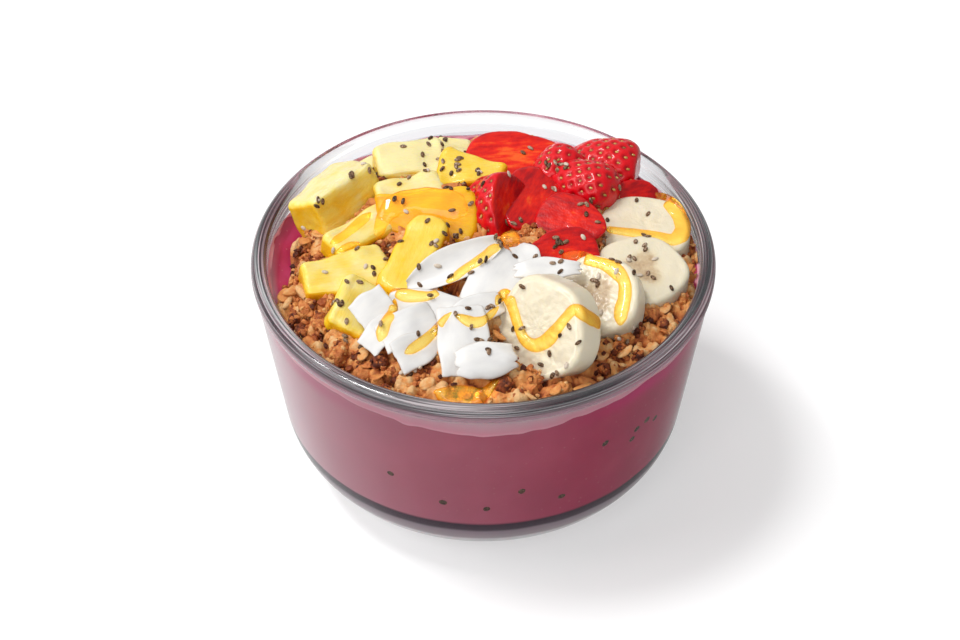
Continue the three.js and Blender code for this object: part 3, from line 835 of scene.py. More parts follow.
def banana_slice(radius, thick, rough, seed):
    """A slice about Z. Its outline runs out over the lower face, round an edge, up the side and
    back over the upper face, and its radius follows 1 + 0.025 cos(5a) + 0.02 cos(2a)."""
    half = thick / 2
    inner = np.linspace(0.03, 1, 26)
    bend = np.sin(np.linspace(0, 1, 8)[1:] * math.pi / 2)
    over = 1 - np.cos(np.linspace(0, 1, 8)[1:] * math.pi / 2)
    flat = radius - BANANA_EDGE
    rise = np.linspace(0, 1, 18)[1:-1]
    side_z = -half + BANANA_EDGE + (thick - 2 * BANANA_EDGE) * rise
    outline = np.concatenate([
        np.stack([inner * flat, np.full(26, -half), np.ones(26)], 1),
        np.stack([flat + BANANA_EDGE * bend, -half + BANANA_EDGE * over, 1 - bend], 1),
        np.stack([np.full(16, radius), side_z, np.zeros(16)], 1),
        np.stack([radius - BANANA_EDGE * over, half - BANANA_EDGE + BANANA_EDGE * bend, over], 1),
        np.stack([inner[::-1] * flat, np.full(26, half), np.ones(26)], 1),
    ])
    ring, angle = circle(BANANA_STEPS)
    around = 1 + 0.025 * np.cos(5 * angle + 0.7) + 0.02 * np.cos(2 * angle)
    rings = np.stack([ring_at(ring, r * around, z) for r, z, _ in outline])
    points, faces = close_rings(rings, (0, 0, -half), (0, 0, half))
    face = np.append(np.repeat(outline[:, 2], BANANA_STEPS), [1.0, 1.0])
    side = np.sign(points[:, 2])
    spread = np.hypot(points[:, 0], points[:, 1])
    swell = 0.35 * (1 - (spread / radius) ** 2) - 0.5 * np.exp(-((spread / 4) ** 2))
    pits = waves(points, seed, (0.35, 2.0), (0.2, 0.9), (0.5, 6))
    points[:, 2] += side * face * (swell - 0.35 + rough * pits)
    bumps = 0.3 * noise(points * [1, 1, 0.4], 5, seed + 3) + 0.08 * noise(points, 1.5, seed + 4)
    radial = points[:, :2] / np.maximum(spread, 1e-6)[:, None]
    points[:, :2] += radial * ((1 - face) * bumps - 0.1)[:, None]
    return points, faces, face


banana = new_material(
    "banana_flesh", Roughness=0.36, IOR=1.38, Coat_Weight=0.3, Coat_Roughness=0.15,
    Subsurface_Weight=0.3, Subsurface_Scale=0.003, Subsurface_Radius=(1.0, 0.8, 0.45),
)
own = mesh_value(banana, "own", "Vector")
middle = weigh(banana, mesh_value(banana, "middle"), speckle(banana, 0.5, own, Detail=5, Roughness=0.65))
banana_colour = add_ramp(banana, middle, [
    (0.0, 0.76, 0.68, 0.51),
    (0.12, 0.74, 0.64, 0.45),
    (0.3, 0.60, 0.46, 0.29),
    (0.55, 0.40, 0.26, 0.15),
])
link(banana, banana_colour, "Base Color")
add_bump(banana, speckle(banana, 2.2, own, Detail=4), 0.3, 0.0005)

BANANAS = [
    dict(at=(20.4, -44.5, 6.2), turn=-47, tilt=59.5, radius=16.5, thick=11, rough=0.9, brown=0.0),
    dict(at=(36.5, -28.5, 3), turn=-35, tilt=30, radius=14, thick=11, rough=0.5, brown=0.75),
    dict(at=(50.3, -12, -2), turn=6, tilt=8, radius=14.7, thick=10, rough=0.35, brown=0.7),
    dict(at=(52, 9.4, -3), turn=-20, tilt=5, radius=15.2, thick=10, rough=0.5, brown=0.15),
]
for number, cut in enumerate(BANANAS, 1):
    own_points, faces, face = banana_slice(seed=number * 10 + 400, **sizes_of(cut, "brown"))
    spread = np.hypot(own_points[:, 0], own_points[:, 1]) / cut["radius"]
    star = 0.36 + 0.10 * np.cos(3 * np.arctan2(own_points[:, 1], own_points[:, 0]) + number)
    middle = cut["brown"] * soft_step(-spread, -star - 0.22, -star + 0.1) * soft_step(face, 0.9, 1)
    lay("banana", "cut", number, cut, own_points, faces, banana, middle=middle)

# ---------------------------------------- coconut
# Shaved flakes of white coconut: thin, crisp strips with torn ends, each bent along its length,
# cupped across and laid over the pieces below it.
FLAKE_THICK = 0.8


def coconut_flake(long, wide, bend=15, cup=0, taper=0, blunt=0, ragged=0.5, seed=0):
    """A thin strip along X, closed round its edges. Its height is -bend x^2 / long - cup v^2, its
    width falls with the ends as |u|^3.2, and noise frays the ends and ripples the sheet."""
    rows, columns = 56, 26
    u = np.linspace(-1, 1, rows + 1)[:, None]
    v = np.linspace(-1, 1, columns + 1)[None]
    full = (1 - (1 - blunt) * 0.55 * np.abs(u) ** 3.2) * (1 + taper * u) * (1 - 0.05 * np.abs(u) ** 14)
    sheet = np.stack(np.broadcast_arrays(u * long / 2, v * wide / 2, 0 * u * v), 2).reshape(-1, 3)
    only_x = np.array([1, 0, 0])
    only_y = np.array([0, 1, 0])
    fray = 0.16 * noise(sheet * only_y + seed, 2.3, seed)
    fray += 0.07 * noise(sheet * only_y + seed + 9, 0.9, seed + 1)
    fray = fray.reshape(rows + 1, -1) * np.abs(u) ** 4
    side_fray = 0.16 * noise(sheet * only_x + seed, 4.0, seed + 2).reshape(rows + 1, -1) * v**2
    ripple = waves(sheet, seed + 3, (0.75, 8), (0.15, 3.5)).reshape(rows + 1, -1)
    x = u * long / 2 * (1 + ragged * fray) + 0 * v
    y = v * wide * full / 2 * (1 + ragged * side_fray) + 0.5 * np.sin(4 * u + 2 * v)
    lift = -math.radians(bend) * x * x / long - cup * v * v + ripple
    thin = FLAKE_THICK * np.sqrt(np.clip(1.02 - np.maximum(np.abs(u), np.abs(v)) ** 8, 0.1, 1))
    upper = np.stack([x, y, lift + thin / 2], 2)
    lower = np.stack([x, y, lift - thin / 2], 2)
    loops = np.concatenate([upper, lower[:, ::-1]], 1)
    count = loops.shape[1]
    index = np.arange(loops.shape[0] * count).reshape(loops.shape[0], count)
    a, b = index[:-1], np.roll(index[:-1], -1, 1)
    c, d = np.roll(index[1:], -1, 1), index[1:]
    faces = np.stack([a, d, c, b], 2).reshape(-1, 4).tolist()
    for row, way in ((0, 1), (rows, -1)):
        near = index[row, : columns + 1]
        far = index[row, : columns : -1]
        faces += np.stack([near[:-1], near[1:], far[1:], far[:-1]], 1)[:, ::way].tolist()
    edge = np.maximum(np.abs(u), np.abs(v)) > 0.99
    return loops.reshape(-1, 3), faces, np.concatenate([edge, edge[:, ::-1]], 1).ravel()


coconut = new_material(
    "coconut_flesh", Roughness=0.38, IOR=1.4, Subsurface_Weight=0.15, Subsurface_Scale=0.001,
    Subsurface_Radius=(1.0, 0.95, 0.9),
)
grain = speckle(coconut, 0.35, stretched(coconut, mesh_value(coconut, "own", "Vector"), 0.4), Detail=3)
flake_stops = [(0.3, 0.71, 0.70, 0.69), (0.6, 0.77, 0.76, 0.74), (0.8, 0.80, 0.775, 0.74)]
flake_colour = add_ramp(coconut, grain, flake_stops)
edge_share = weigh(coconut, mesh_value(coconut, "edge"), 0.3)
link(coconut, blend(coconut, edge_share, flake_colour, (0.50, 0.38, 0.27, 1)), "Base Color")
add_bump(coconut, grain, 0.06, 0.0005)

COCONUT = [
    dict(
        at=(-9, -20.5, 11), turn=30, tilt=25, roll=-15,
        long=32, wide=11, bend=8, cup=-1.8, blunt=0.1, ragged=0.2
    ),
    dict(at=(3, -27.5, 10), turn=58, tilt=14, roll=-16, long=25, wide=15, bend=14, taper=0.12, blunt=0.7),
    dict(at=(13.5, -16, 11), turn=-64, tilt=8, long=13, wide=8, blunt=0.6),
    dict(at=(-34, -37, 7.5), turn=45, tilt=31, roll=-27, long=12, wide=11, bend=5, blunt=1, ragged=0.2),
    dict(at=(-15.5, -37, 6.3), turn=-4, tilt=24, long=27, wide=13, bend=10, taper=-0.2, blunt=0.9),
    dict(at=(-30.5, -44, 5.2), turn=52, tilt=16, roll=-14, long=16, wide=9, blunt=0.9, ragged=0.3),
    dict(at=(-19.5, -50.5, 3.5), turn=34, tilt=30, long=16, wide=10, taper=-0.3, blunt=0.8, ragged=0.3),
    dict(at=(-6, -50, 6.2), turn=96, roll=-30, long=22, wide=16, bend=8, blunt=1, ragged=0.4),
    dict(at=(1, -58, 6), turn=12, tilt=30, long=16, wide=12, bend=18, cup=1.5, blunt=0.6, ragged=1.4),
    dict(at=(-2.5, -39.5, 10), turn=22, tilt=22, long=18, wide=8, taper=0.2, blunt=0.6),
    dict(at=(20, -26, 14.5), turn=2, tilt=20, long=20, wide=7, blunt=0.5, ragged=1),
    dict(at=(-23, -43.5, 6.5), turn=34, tilt=22, roll=-6, long=19, wide=11, blunt=0.9, ragged=0.3),
]
for number, flake in enumerate(COCONUT, 1):
    own_points, faces, edge = coconut_flake(seed=number * 10 + 600, **sizes_of(flake))
    lay("coconut", "flake", number, flake, own_points, faces, coconut, edge=edge)

# ---------------------------------------- granola
# Baked oats, nuts and syrup broken into rubble. A core with the relief of packed crumbs fills
# the heap; loose clusters, crumbs, oat flakes and nut slivers lie on top of it.
HEAP_EDGE = -4.5
HEAP_TOP = 5.0
HEAP_FOOT = RIM_PLANE - 9
HEAP_BASE = RIM_PLANE - 14
HEAP_STEPS = 600
COARSE_CELL = 4.6
FINE_CELL = 2.1
RELIEF_DROP = 3.6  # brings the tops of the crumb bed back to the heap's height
BURIED_TINT = 0.3
UNDER_FRUIT = 2.5  # how far the core stays below the fruit on it


def granola_reach(angle):
    """How far out the heap reaches: to the glass in front, less at the left, back and right."""
    turn = np.mod(angle, 2 * math.pi)
    behind = np.maximum(0, np.sin(turn + 0.1))
    left = np.exp(-(((turn - math.pi * 0.94) / 0.42) ** 2))
    return INNER_RIM + 2 - 9 * behind - 11 * left + 1.6 * np.sin(turn * 9) + np.sin(turn * 17)


def granola_base(x, y):
    """The heap's smooth height: highest in the middle and rounded off at its edge."""
    out = np.minimum(np.hypot(x, y) / granola_reach(np.arctan2(y, x)), 1)
    return RIM_PLANE + HEAP_EDGE + (HEAP_TOP - HEAP_EDGE) * (1 - out**2.4) - 2.5 * out**12


def crumb_bed(x, y, cell, seed):
    """Height and tint of a bed of round crumbs. Each square of a grid holds one crumb at a
    random place and height, and the highest of the nine nearest shows: h + sqrt(r^2 - d^2)."""
    column = np.floor(x / cell).astype(np.int64)
    row = np.floor(y / cell).astype(np.int64)
    height = np.full(len(x), -cell)
    tint = np.zeros(len(x))
    for i in (-1, 0, 1):
        for j in (-1, 0, 1):
            spot = np.column_stack([column + i, row + j, np.full(len(x), seed)]).astype(float)
            rolls = [noise(spot, 1.0, seed + k) * 0.5 + 0.5 for k in range(4)]
            middle_x = (column + i + 0.15 + 0.7 * rolls[0]) * cell
            middle_y = (row + j + 0.15 + 0.7 * rolls[1]) * cell
            radius = cell * (0.5 + 0.35 * rolls[2])
            apart = (x - middle_x) ** 2 + (y - middle_y) ** 2
            dome = np.sqrt(np.maximum(radius**2 - apart, 0)) + cell * 0.5 * (rolls[3] - 0.5)
            dome = np.where(apart < radius**2, dome, -cell)
            tint = np.where(dome > height, rolls[3], tint)
            height = np.maximum(height, dome)
    return np.maximum(height, -0.2 * cell), tint


def tree_of(pieces):
    """One search tree of the faces of several pieces, each (points, faces)."""
    points = np.concatenate([points for points, _ in pieces])
    starts = np.cumsum([0] + [len(points) for points, _ in pieces[:-1]])
    joined = []
    for (_, faces), start in zip(pieces, starts):
        joined.extend([index + int(start) for index in face] for face in faces)
    return BVHTree.FromPolygons(points.tolist(), joined)


fruit_tree = tree_of(shown[1:])  # all but the puree


def fruit_over(x, y):
    """The highest spot of fruit at (x, y), or None."""
    return fruit_tree.ray_cast(Vector((x, y, RIM_PLANE + 60)), Vector((0, 0, -1)))[0]


ring, angles = circle(HEAP_STEPS)
reach = granola_reach(angles)
foot_r = reach - 0.6
underside = ((0.3, 0), (0.8, 0), (0.95, 2))
rings = [ring_at(ring, share * (reach - 3), HEAP_BASE + rise) for share, rise in underside]
rings.append(ring_at(ring, foot_r, HEAP_FOOT))
tints = [np.full(HEAP_STEPS, BURIED_TINT)] * len(rings)
buried_rings = len(rings) + 1
for share in np.concatenate([[1.0], np.linspace(0.995, 0.40, 128), np.linspace(0.36, 0.04, 8)]):
    level = ring_at(ring, share * foot_r, 0)
    x, y = level[:, 0], level[:, 1]
    coarse, tint = crumb_bed(x, y, COARSE_CELL, 11)
    fine, fine_tint = crumb_bed(x, y, FINE_CELL, 21)
    rough = noise(np.column_stack([x, y, coarse]), 0.9, 31)
    z = granola_base(x, y) - RELIEF_DROP + 1.05 * coarse + 0.8 * fine + 0.4 * rough
    rings.append(np.column_stack([x, y, z]))
    # painted shade and light: the core is darkened overall and in the low places between its crumbs, and
    # lighter on their tops
    tints.append(0.35 * tint + 0.3 * fine_tint + 0.12 * coarse + 0.1 * fine - 0.12)
rings = keep_inside(np.concatenate(rings)).reshape(len(rings), len(ring), 3)
for spot in rings[buried_rings:].reshape(-1, 3):
    fruit = fruit_over(spot[0], spot[1])
    if fruit and fruit.z - UNDER_FRUIT < spot[2]:
        spot[2] = max(fruit.z - UNDER_FRUIT, HEAP_FOOT)
points, faces = close_rings(rings, (0, 0, HEAP_BASE), (0, 0, rings[-1, :, 2].mean()))
core_tint_with_painted_shade = np.append(np.concatenate(tints), [BURIED_TINT, BURIED_TINT])

granola = new_material(
    "baked_granola", Roughness=0.4, Specular_IOR_Level=0.4, Subsurface_Weight=0.05, Subsurface_Scale=0.001
)
shade = weigh(granola, speckle(granola, 550, Detail=4), 0.8, mesh_value(granola, "tint"))
granola_colour = add_ramp(granola, weigh(granola, shade, 1, -0.4), [
    (0.05, 0.07, 0.010, 0.003),
    (0.28, 0.34, 0.070, 0.014),
    (0.52, 0.66, 0.21, 0.055),
    (0.78, 0.80, 0.34, 0.095),
    (1.0, 0.85, 0.51, 0.23),
])
link(granola, granola_colour, "Base Color")
add_bump(granola, speckle(granola, 1100, Detail=6, Roughness=0.7), 1.0, 0.0007)
new_piece("granola_core", points, faces, granola, ["granola"], {"tint": core_tint_with_painted_shade})


def random_turns(rng, count):
    """Random rotation matrices, from the orthogonal part of random 3 x 3 numbers."""
    frames, _ = np.linalg.qr(rng.normal(size=(count, 3, 3)))
    frames[:, :, 0] *= np.linalg.det(frames)[:, None]
    return frames


def strewn(rng, count, inner, edge_gap):
    """Random places on the heap, from an inner radius to a gap before its edge, even in area."""
    angle = rng.uniform(0, 2 * math.pi, count)
    outer = granola_reach(angle) - edge_gap
    radius = np.sqrt(rng.uniform(inner**2, outer**2))
    return radius * np.cos(angle), radius * np.sin(angle)


def flat_turns(rng, count, lean):
    """Rotations of things that lie flat: any turn about Z, then a random lean about X and Y."""
    turn = rng.uniform(0, 2 * math.pi, count)
    lean_x, lean_y = rng.normal(0, lean, (2, count))
    along = unit(np.stack([np.cos(turn), np.sin(turn), lean_x], 1))
    upward = unit(np.cross(along, np.stack([-np.sin(turn), np.cos(turn), lean_y], 1)))
    return np.stack([along, np.cross(upward, along), upward], 2)


def add_kind(name, parts, smooth=True):
    """One piece from batches of copies, (shape, faces, places, frames, sizes, tints), without
    those that have fruit above or below them."""
    points, faces, tints = [], [], []
    start = 0
    for shape, shape_faces, places, frames, sizes, part_tints in parts:
        free = np.array([fruit_over(x, y) is None for x, y, _ in places])
        batch, batch_faces = copies(shape, shape_faces, places[free], frames[free], sizes[free])
        points.append(batch)
        faces.extend((np.array(batch_faces) + start).tolist())
        tints.append(np.repeat(part_tints[free], len(shape)))
        start += len(batch)
    points = keep_inside(np.concatenate(points))
    tint = {"tint": np.concatenate(tints)}
    new_piece(name, points, faces, granola, attributes=tint, smooth=smooth)


def crumb_sizes(rng, count, low, high):
    """Sizes of crumbs, each with sides of up to a third more or less."""
    return rng.uniform(low, high, (count, 1)) * rng.uniform(0.7, 1.35, (count, 3))


def flat_sizes(rng, count, *spans):
    """Sizes along X, Y and Z, each drawn evenly from its own span."""
    return np.column_stack([rng.uniform(low, high, count) for low, high in spans])


rng = np.random.default_rng(7)
lump, lump_faces = ball(3)
lump = lump * (1 + 0.25 * noise(lump * 3.1, 1.0, 41) + 0.14 * noise(lump * 6.5, 1.0, 42))[:, None]
crumb, crumb_faces = ball(1)
crumb = crumb * (1 + 0.36 * noise(crumb * 2.3, 1.0, 43))[:, None]

# Clusters: a lump stuck over with angular crumbs.
CLUSTERS = 230
CRUMBS_EACH = 24
x, y = strewn(rng, CLUSTERS, 6, 2.5)
size = rng.uniform(1.4, 2.7, CLUSTERS)
centres = np.column_stack([x, y, granola_base(x, y) - 0.7 + 0.35 * size])
cluster_tint = rng.uniform(0.2, 0.75, CLUSTERS)
sizes = size[:, None] * rng.uniform(0.75, 1.25, (CLUSTERS, 3))
lumps = (lump, lump_faces, centres, random_turns(rng, CLUSTERS), sizes, cluster_tint - 0.1)
outward = unit(rng.normal(size=(CLUSTERS, CRUMBS_EACH, 3)) + np.array([0, -0.3, 0.6]))
reach_out = size[:, None, None] * rng.uniform(0.7, 1.0, (CLUSTERS, CRUMBS_EACH, 1))
places = (centres[:, None] + outward * reach_out).reshape(-1, 3)
sizes = crumb_sizes(rng, len(places), 0.35, 1.0)
stuck_tint = np.repeat(cluster_tint, CRUMBS_EACH) + rng.uniform(-0.25, 0.35, len(places))
add_kind("granola_lumps", [lumps])
stuck = (crumb, crumb_faces, places, random_turns(rng, len(places)), sizes, stuck_tint)

# Loose crumbs between them.
LOOSE = 3600
x, y = strewn(rng, LOOSE, 4, 0.8)
places = np.column_stack([x, y, granola_base(x, y) - 1.4 + rng.uniform(0, 2.2, LOOSE)])
sizes = crumb_sizes(rng, LOOSE, 0.4, 1.25)
loose = (crumb, crumb_faces, places, random_turns(rng, LOOSE), sizes, rng.uniform(0.0, 0.95, LOOSE))
add_kind("granola_crumbs", [stuck, loose], smooth=False)


def oat_flake(rows, columns):
    """A rolled oat: an oval disc of radius 1, dished and creased along its length, with a soft
    edge, its upper and lower skins meeting in a shared ring."""
    share = np.sqrt(np.linspace(0, 1, rows + 1)[1:])
    angle = np.arange(columns) * 2 * math.pi / columns
    x = share[:, None] * np.cos(angle)
    y = share[:, None] * np.sin(angle) * (1 + 0.12 * np.cos(angle))
    lift = 0.35 * x**2 - 0.5 * y**2 + 0.5 * np.abs(y) * (1 - share[:, None])
    thick = 0.55 * np.sqrt(1 - share**2)[:, None]
    upper = np.stack([x, y, lift + thick], 2)
    lower = np.stack([x, y, lift - thick], 2)[:-1]
    points, faces = close_rings(np.concatenate([lower, upper[::-1]]), (0, 0, -0.55), (0, 0, 0.3))
    return points, np.array([face if len(face) == 4 else face + [face[-1]] for face in faces])


def triangles(faces):
    """Every quad as two triangles; a quad with a doubled corner gives one."""
    halves = np.concatenate([faces[:, [0, 1, 2]], faces[:, [0, 2, 3]]])
    return halves[halves[:, 1] != halves[:, 2]]


OATS = 380
oat, oat_faces = oat_flake(4, 16)
oat_faces = triangles(oat_faces)
x, y = strewn(rng, OATS, 10, 2.4)
places = np.column_stack([x, y, granola_base(x, y) + rng.uniform(-0.4, 2.0, OATS)])
sizes = flat_sizes(rng, OATS, (2.0, 3.9), (1.4, 2.3), (0.6, 1.0))
oats = (oat, oat_faces, places, flat_turns(rng, OATS, 0.4), sizes, rng.uniform(0.5, 1.0, OATS))
add_kind("oat_flakes", [oats])

SLIVERS = 26
sliver, sliver_faces = ball(2)
sliver = sliver * (1 + 0.2 * noise(sliver * 2.1, 1.0, 44))[:, None]
x, y = strewn(rng, SLIVERS, 30, 3.5)
places = np.column_stack([x, y, granola_base(x, y) + rng.uniform(0.2, 1.6, SLIVERS)])
sizes = flat_sizes(rng, SLIVERS, (2.2, 4.2), (0.9, 1.5), (0.6, 1.0))
turns = flat_turns(rng, SLIVERS, 0.35)
slivers = (sliver, sliver_faces, places, turns, sizes, rng.uniform(0.9, 1.25, SLIVERS))
add_kind("nut_slivers", [slivers])

# ---------------------------------------- honey
# Thin runs of clear golden honey, poured last from above the front: rounded strands that follow
# whatever they land on, close small gaps and thin out at their ends, and a wide sheet of it over
# the pineapple. Places are u to the right and v up, square to the way it is poured.
POUR_SLOPE = math.radians(40.8)
UP_WAY = np.array([0, math.sin(POUR_SLOPE), math.cos(POUR_SLOPE)])
POUR_WAY = np.array([0, math.cos(POUR_SLOPE), -math.sin(POUR_SLOPE)])
POUR_FROM = 80
HONEY_STEP = 0.35
HONEY_ACROSS = 15
HONEY_SUNK = 0.5


def landing(tree, u, v):
    """Where something poured at (u, v) lands, how high that is against the pour, and the
    direction of the surface there."""
    start = np.array([u, 0, RIM_PLANE]) + v * UP_WAY - POUR_FROM * POUR_WAY
    spot, normal, _, far = tree.ray_cast(Vector(start), Vector(POUR_WAY))
    if spot is None:
        return start + (POUR_FROM + 10) * POUR_WAY, -10.0, Vector((0, 0, 1))
    return np.array(spot), POUR_FROM - far, normal


def smooth_line(knots):
    """Evenly spaced points on a curve through the knots: each span is the cubic whose slope at
    a knot is half the way between that knot's neighbours (Catmull-Rom)."""
    knots = np.array(knots, float)
    ends = np.concatenate([[2 * knots[0] - knots[1]], knots, [2 * knots[-1] - knots[-2]]])
    t = np.linspace(0, 1, 24, endpoint=False)[:, None]
    spans = []
    for a, b, c, d in zip(ends, ends[1:], ends[2:], ends[3:]):
        bend = (2 * a - 5 * b + 4 * c - d) * t**2 + (3 * b - a - 3 * c + d) * t**3
        spans.append(0.5 * (2 * b + (c - a) * t + bend))
    line = np.concatenate(spans + [knots[-1:]])
    travel = travelled(line[:, :2])
    even = np.arange(0, travel[-1], HONEY_STEP)
    return np.stack([np.interp(even, travel, column) for column in line.T], 1), even


def neighbours(values, reach):
    """Every row's neighbours within a reach along the strand, itself included."""
    padded = np.pad(values, ((reach, reach), (0, 0)), mode="edge")
    return [padded[k : k + len(values)] for k in range(2 * reach + 1)]


def smoothed(values, weights):
    """Every row as the weighted mean of itself and its neighbours."""
    return sum(weight * near for weight, near in zip(weights, neighbours(values, len(weights) // 2)))


def honey_strand(tree, knots, deep, close, seed):
    """A strand along knots of (u, v, width). The ground under it has its gaps closed (highest,
    then lowest within a reach) and is smoothed along and across; the top is a dome
    deep (1 - s^2)^0.6 high, and the underside lies half a millimetre in the food."""
    line, even = smooth_line(knots)
    heading = unit(np.gradient(line[:, :2], axis=0))
    across = np.stack([-heading[:, 1], heading[:, 0]], 1)
    s = np.sin(np.linspace(-1, 1, HONEY_ACROSS) * math.pi / 2)
    travel = np.column_stack([even, 0 * even, 0 * even + seed])
    wobble = noise(travel, 6, seed)
    fine_wobble = noise(travel, 2.2, seed + 1)
    ends = np.clip(np.minimum(even, even[-1] - even) / 2.5, 0.01, 1) ** 0.5
    half = line[:, 2] / 2 * ends * (1 + 0.14 * wobble + 0.05 * fine_wobble)
    flat = line[:, None, :2] + across[:, None] * (half[:, None] * s)[..., None]
    ground = np.array([[landing(tree, u, v)[1] for u, v in row] for row in flat])
    reach = max(1, round(close / HONEY_STEP))
    closed = np.max(neighbours(ground, reach), axis=0)
    closed = np.min(neighbours(closed, reach), axis=0)
    middle = np.median(closed, axis=1, keepdims=True)
    rest = np.clip(closed, middle - 1.2, middle + 0.8)
    rest = smoothed(rest, np.array([1, 3, 5, 6, 5, 3, 1]) / 24)
    rest = smoothed(rest.T, (0.1, 0.25, 0.3, 0.25, 0.1)).T
    dome = deep * (ends * (1 + 0.2 * wobble))[:, None] * (1 - s**2) ** 0.6
    upper = np.concatenate([flat, (rest + dome)[..., None]], 2)
    lower = np.concatenate([flat[:, 1:-1], (rest - HONEY_SUNK)[:, 1:-1, None]], 2)[:, ::-1]
    rings = np.concatenate([upper, lower], 1)
    points, faces = close_rings(rings, rings[0].mean(0), rings[-1].mean(0))
    faces = [face[::-1] for face in faces]
    u, v, high = points.T[..., None]
    return np.array([0, 0, RIM_PLANE]) + u * [1, 0, 0] + v * UP_WAY - high * POUR_WAY, faces


honey = new_material("honey", Roughness=0.04, IOR=1.46, Transmission_Weight=0.85)
# painted shade: the amber deepens where the surface turns away from the view, at the strand's edges
turned_away = add_node(honey, "ShaderNodeLayerWeight", {"Blend": 0.5}).outputs["Facing"]
painted_edge_shade = weigh(honey, speckle(honey, 120, Detail=2), 0.35, turned_away)
honey_colour = add_ramp(honey, painted_edge_shade, [
    (0.2, 0.98, 0.74, 0.12),
    (0.45, 0.96, 0.57, 0.04),
    (0.7, 0.88, 0.37, 0.007),
    (0.95, 0.72, 0.25, 0.002),
])
link(honey, honey_colour, "Base Color")

HONEY = [  # name, depth, reach of the gaps it closes, knots of (u, v, width)
    ("honey_sheet", 0.9, 2, [
        (-34, 3, 3), (-32.5, 9, 5), (-29, 13.5, 7), (-23, 15, 9), (-17, 14.5, 10), (-10, 13.5, 10),
        (-5, 12, 8)
    ]),
    ("honey_run_on_small_chunk", 0.7, 2, [
        (-49, 1.5, 2), (-45, 4, 3), (-42, 6.5, 3), (-38.5, 9.5, 3), (-36, 12, 2)
    ]),
    ("honey_run_below_it", 0.7, 2, [
        (-47, -1, 1.6), (-43, 0.8, 2.2), (-39.5, 2, 1.8)
    ]),
    ("honey_upper_coconut", 1.1, 1, [
        (-29, -13, 3), (-24.5, -14.4, 3.8), (-19.5, -14.8, 3.4), (-16, -14.4, 2.6), (-13, -12.6, 2.4),
        (-10, -10, 2.4), (-6.3, -6.8, 2.5), (-2.6, -4.5, 2.7), (0.3, -2.4, 2.7), (3, -0.2, 2.8),
        (6.5, 0.8, 2.6)
    ]),
    ("honey_patch_by_berries", 0.9, 2, [
        (5, 1.5, 3), (7.2, 2.6, 5), (9.6, 3.2, 5.5), (11.8, 2.0, 4)
    ]),
    ("honey_left_coconut", 1.2, 1, [
        (-27.4, -15.5, 2), (-28, -19.5, 2.8), (-29.8, -22.4, 3.2), (-31, -25.6, 3.8), (-32, -28.8, 3)
    ]),
    ("honey_lower_coconut", 1.2, 1, [
        (-24, -32, 2.6), (-20, -29.6, 3.2), (-17.4, -27.7, 3.2), (-14.5, -24.8, 2.8), (-11.8, -21.4, 2.2),
        (-9.4, -19.2, 1.4)
    ]),
    ("honey_middle_coconut", 1.2, 1, [
        (-9, -20, 1.8), (-7, -21, 2.6), (-4.4, -22.2, 3.4), (-2.4, -22.6, 3.4), (0.3, -21.9, 2.8),
        (3, -19.6, 2.2), (5, -17.6, 2)
    ]),
    ("honey_on_leaning_slice", 1.6, 0.7, [
        (4, -17.6, 2.4), (5.2, -15.2, 3), (7.2, -14.2, 3.6), (9.2, -18.4, 3.8), (11, -24.4, 3.6),
        (12.8, -28, 3.8), (15.8, -29.6, 4), (19.4, -28, 4), (22.4, -24.2, 3.5), (25, -20.8, 3.3),
        (27.7, -18.4, 3.5), (30.8, -20.2, 4), (34, -22.4, 4), (35.4, -24.4, 3)
    ]),
    ("honey_on_near_slice", 1.6, 1, [
        (24, -3.6, 2), (26.4, -2.6, 3), (30, -2.4, 3.6), (34, -3.8, 4), (38, -5, 4.2), (41.4, -7, 4.4),
        (43.8, -10.5, 4.4), (43.8, -15, 4.5), (42.6, -19.6, 4.4), (42.1, -24, 4)
    ]),
    ("honey_on_far_slice", 1.4, 1.4, [
        (57, 18.5, 2.5), (60.5, 15.4, 4.5), (63.6, 11.2, 5.5), (64.8, 6, 5.5), (61.6, 2.8, 4.4),
        (56.5, 3.8, 3.4), (49, 5, 2.8), (42, 6, 2.4), (38, 7, 1.6)
    ]),
    ("honey_pool", 1.6, 3, [
        (-15, -43.2, 3), (-10.5, -44.8, 6), (-6.1, -45.2, 7), (-2.2, -45, 6), (0.8, -43.6, 3.6),
        (2.8, -41.5, 2.6), (5, -39.4, 1.6)
    ]),
]
food_tree = tree_of(shown)
for number, (name, deep, close, knots) in enumerate(HONEY, 1):
    points, faces = honey_strand(food_tree, knots, deep, close, number * 10 + 800)
    strand = new_piece(name, keep_inside(points), faces, honey)
    strand.visible_shadow = False  # light passes through clear honey to what lies under it

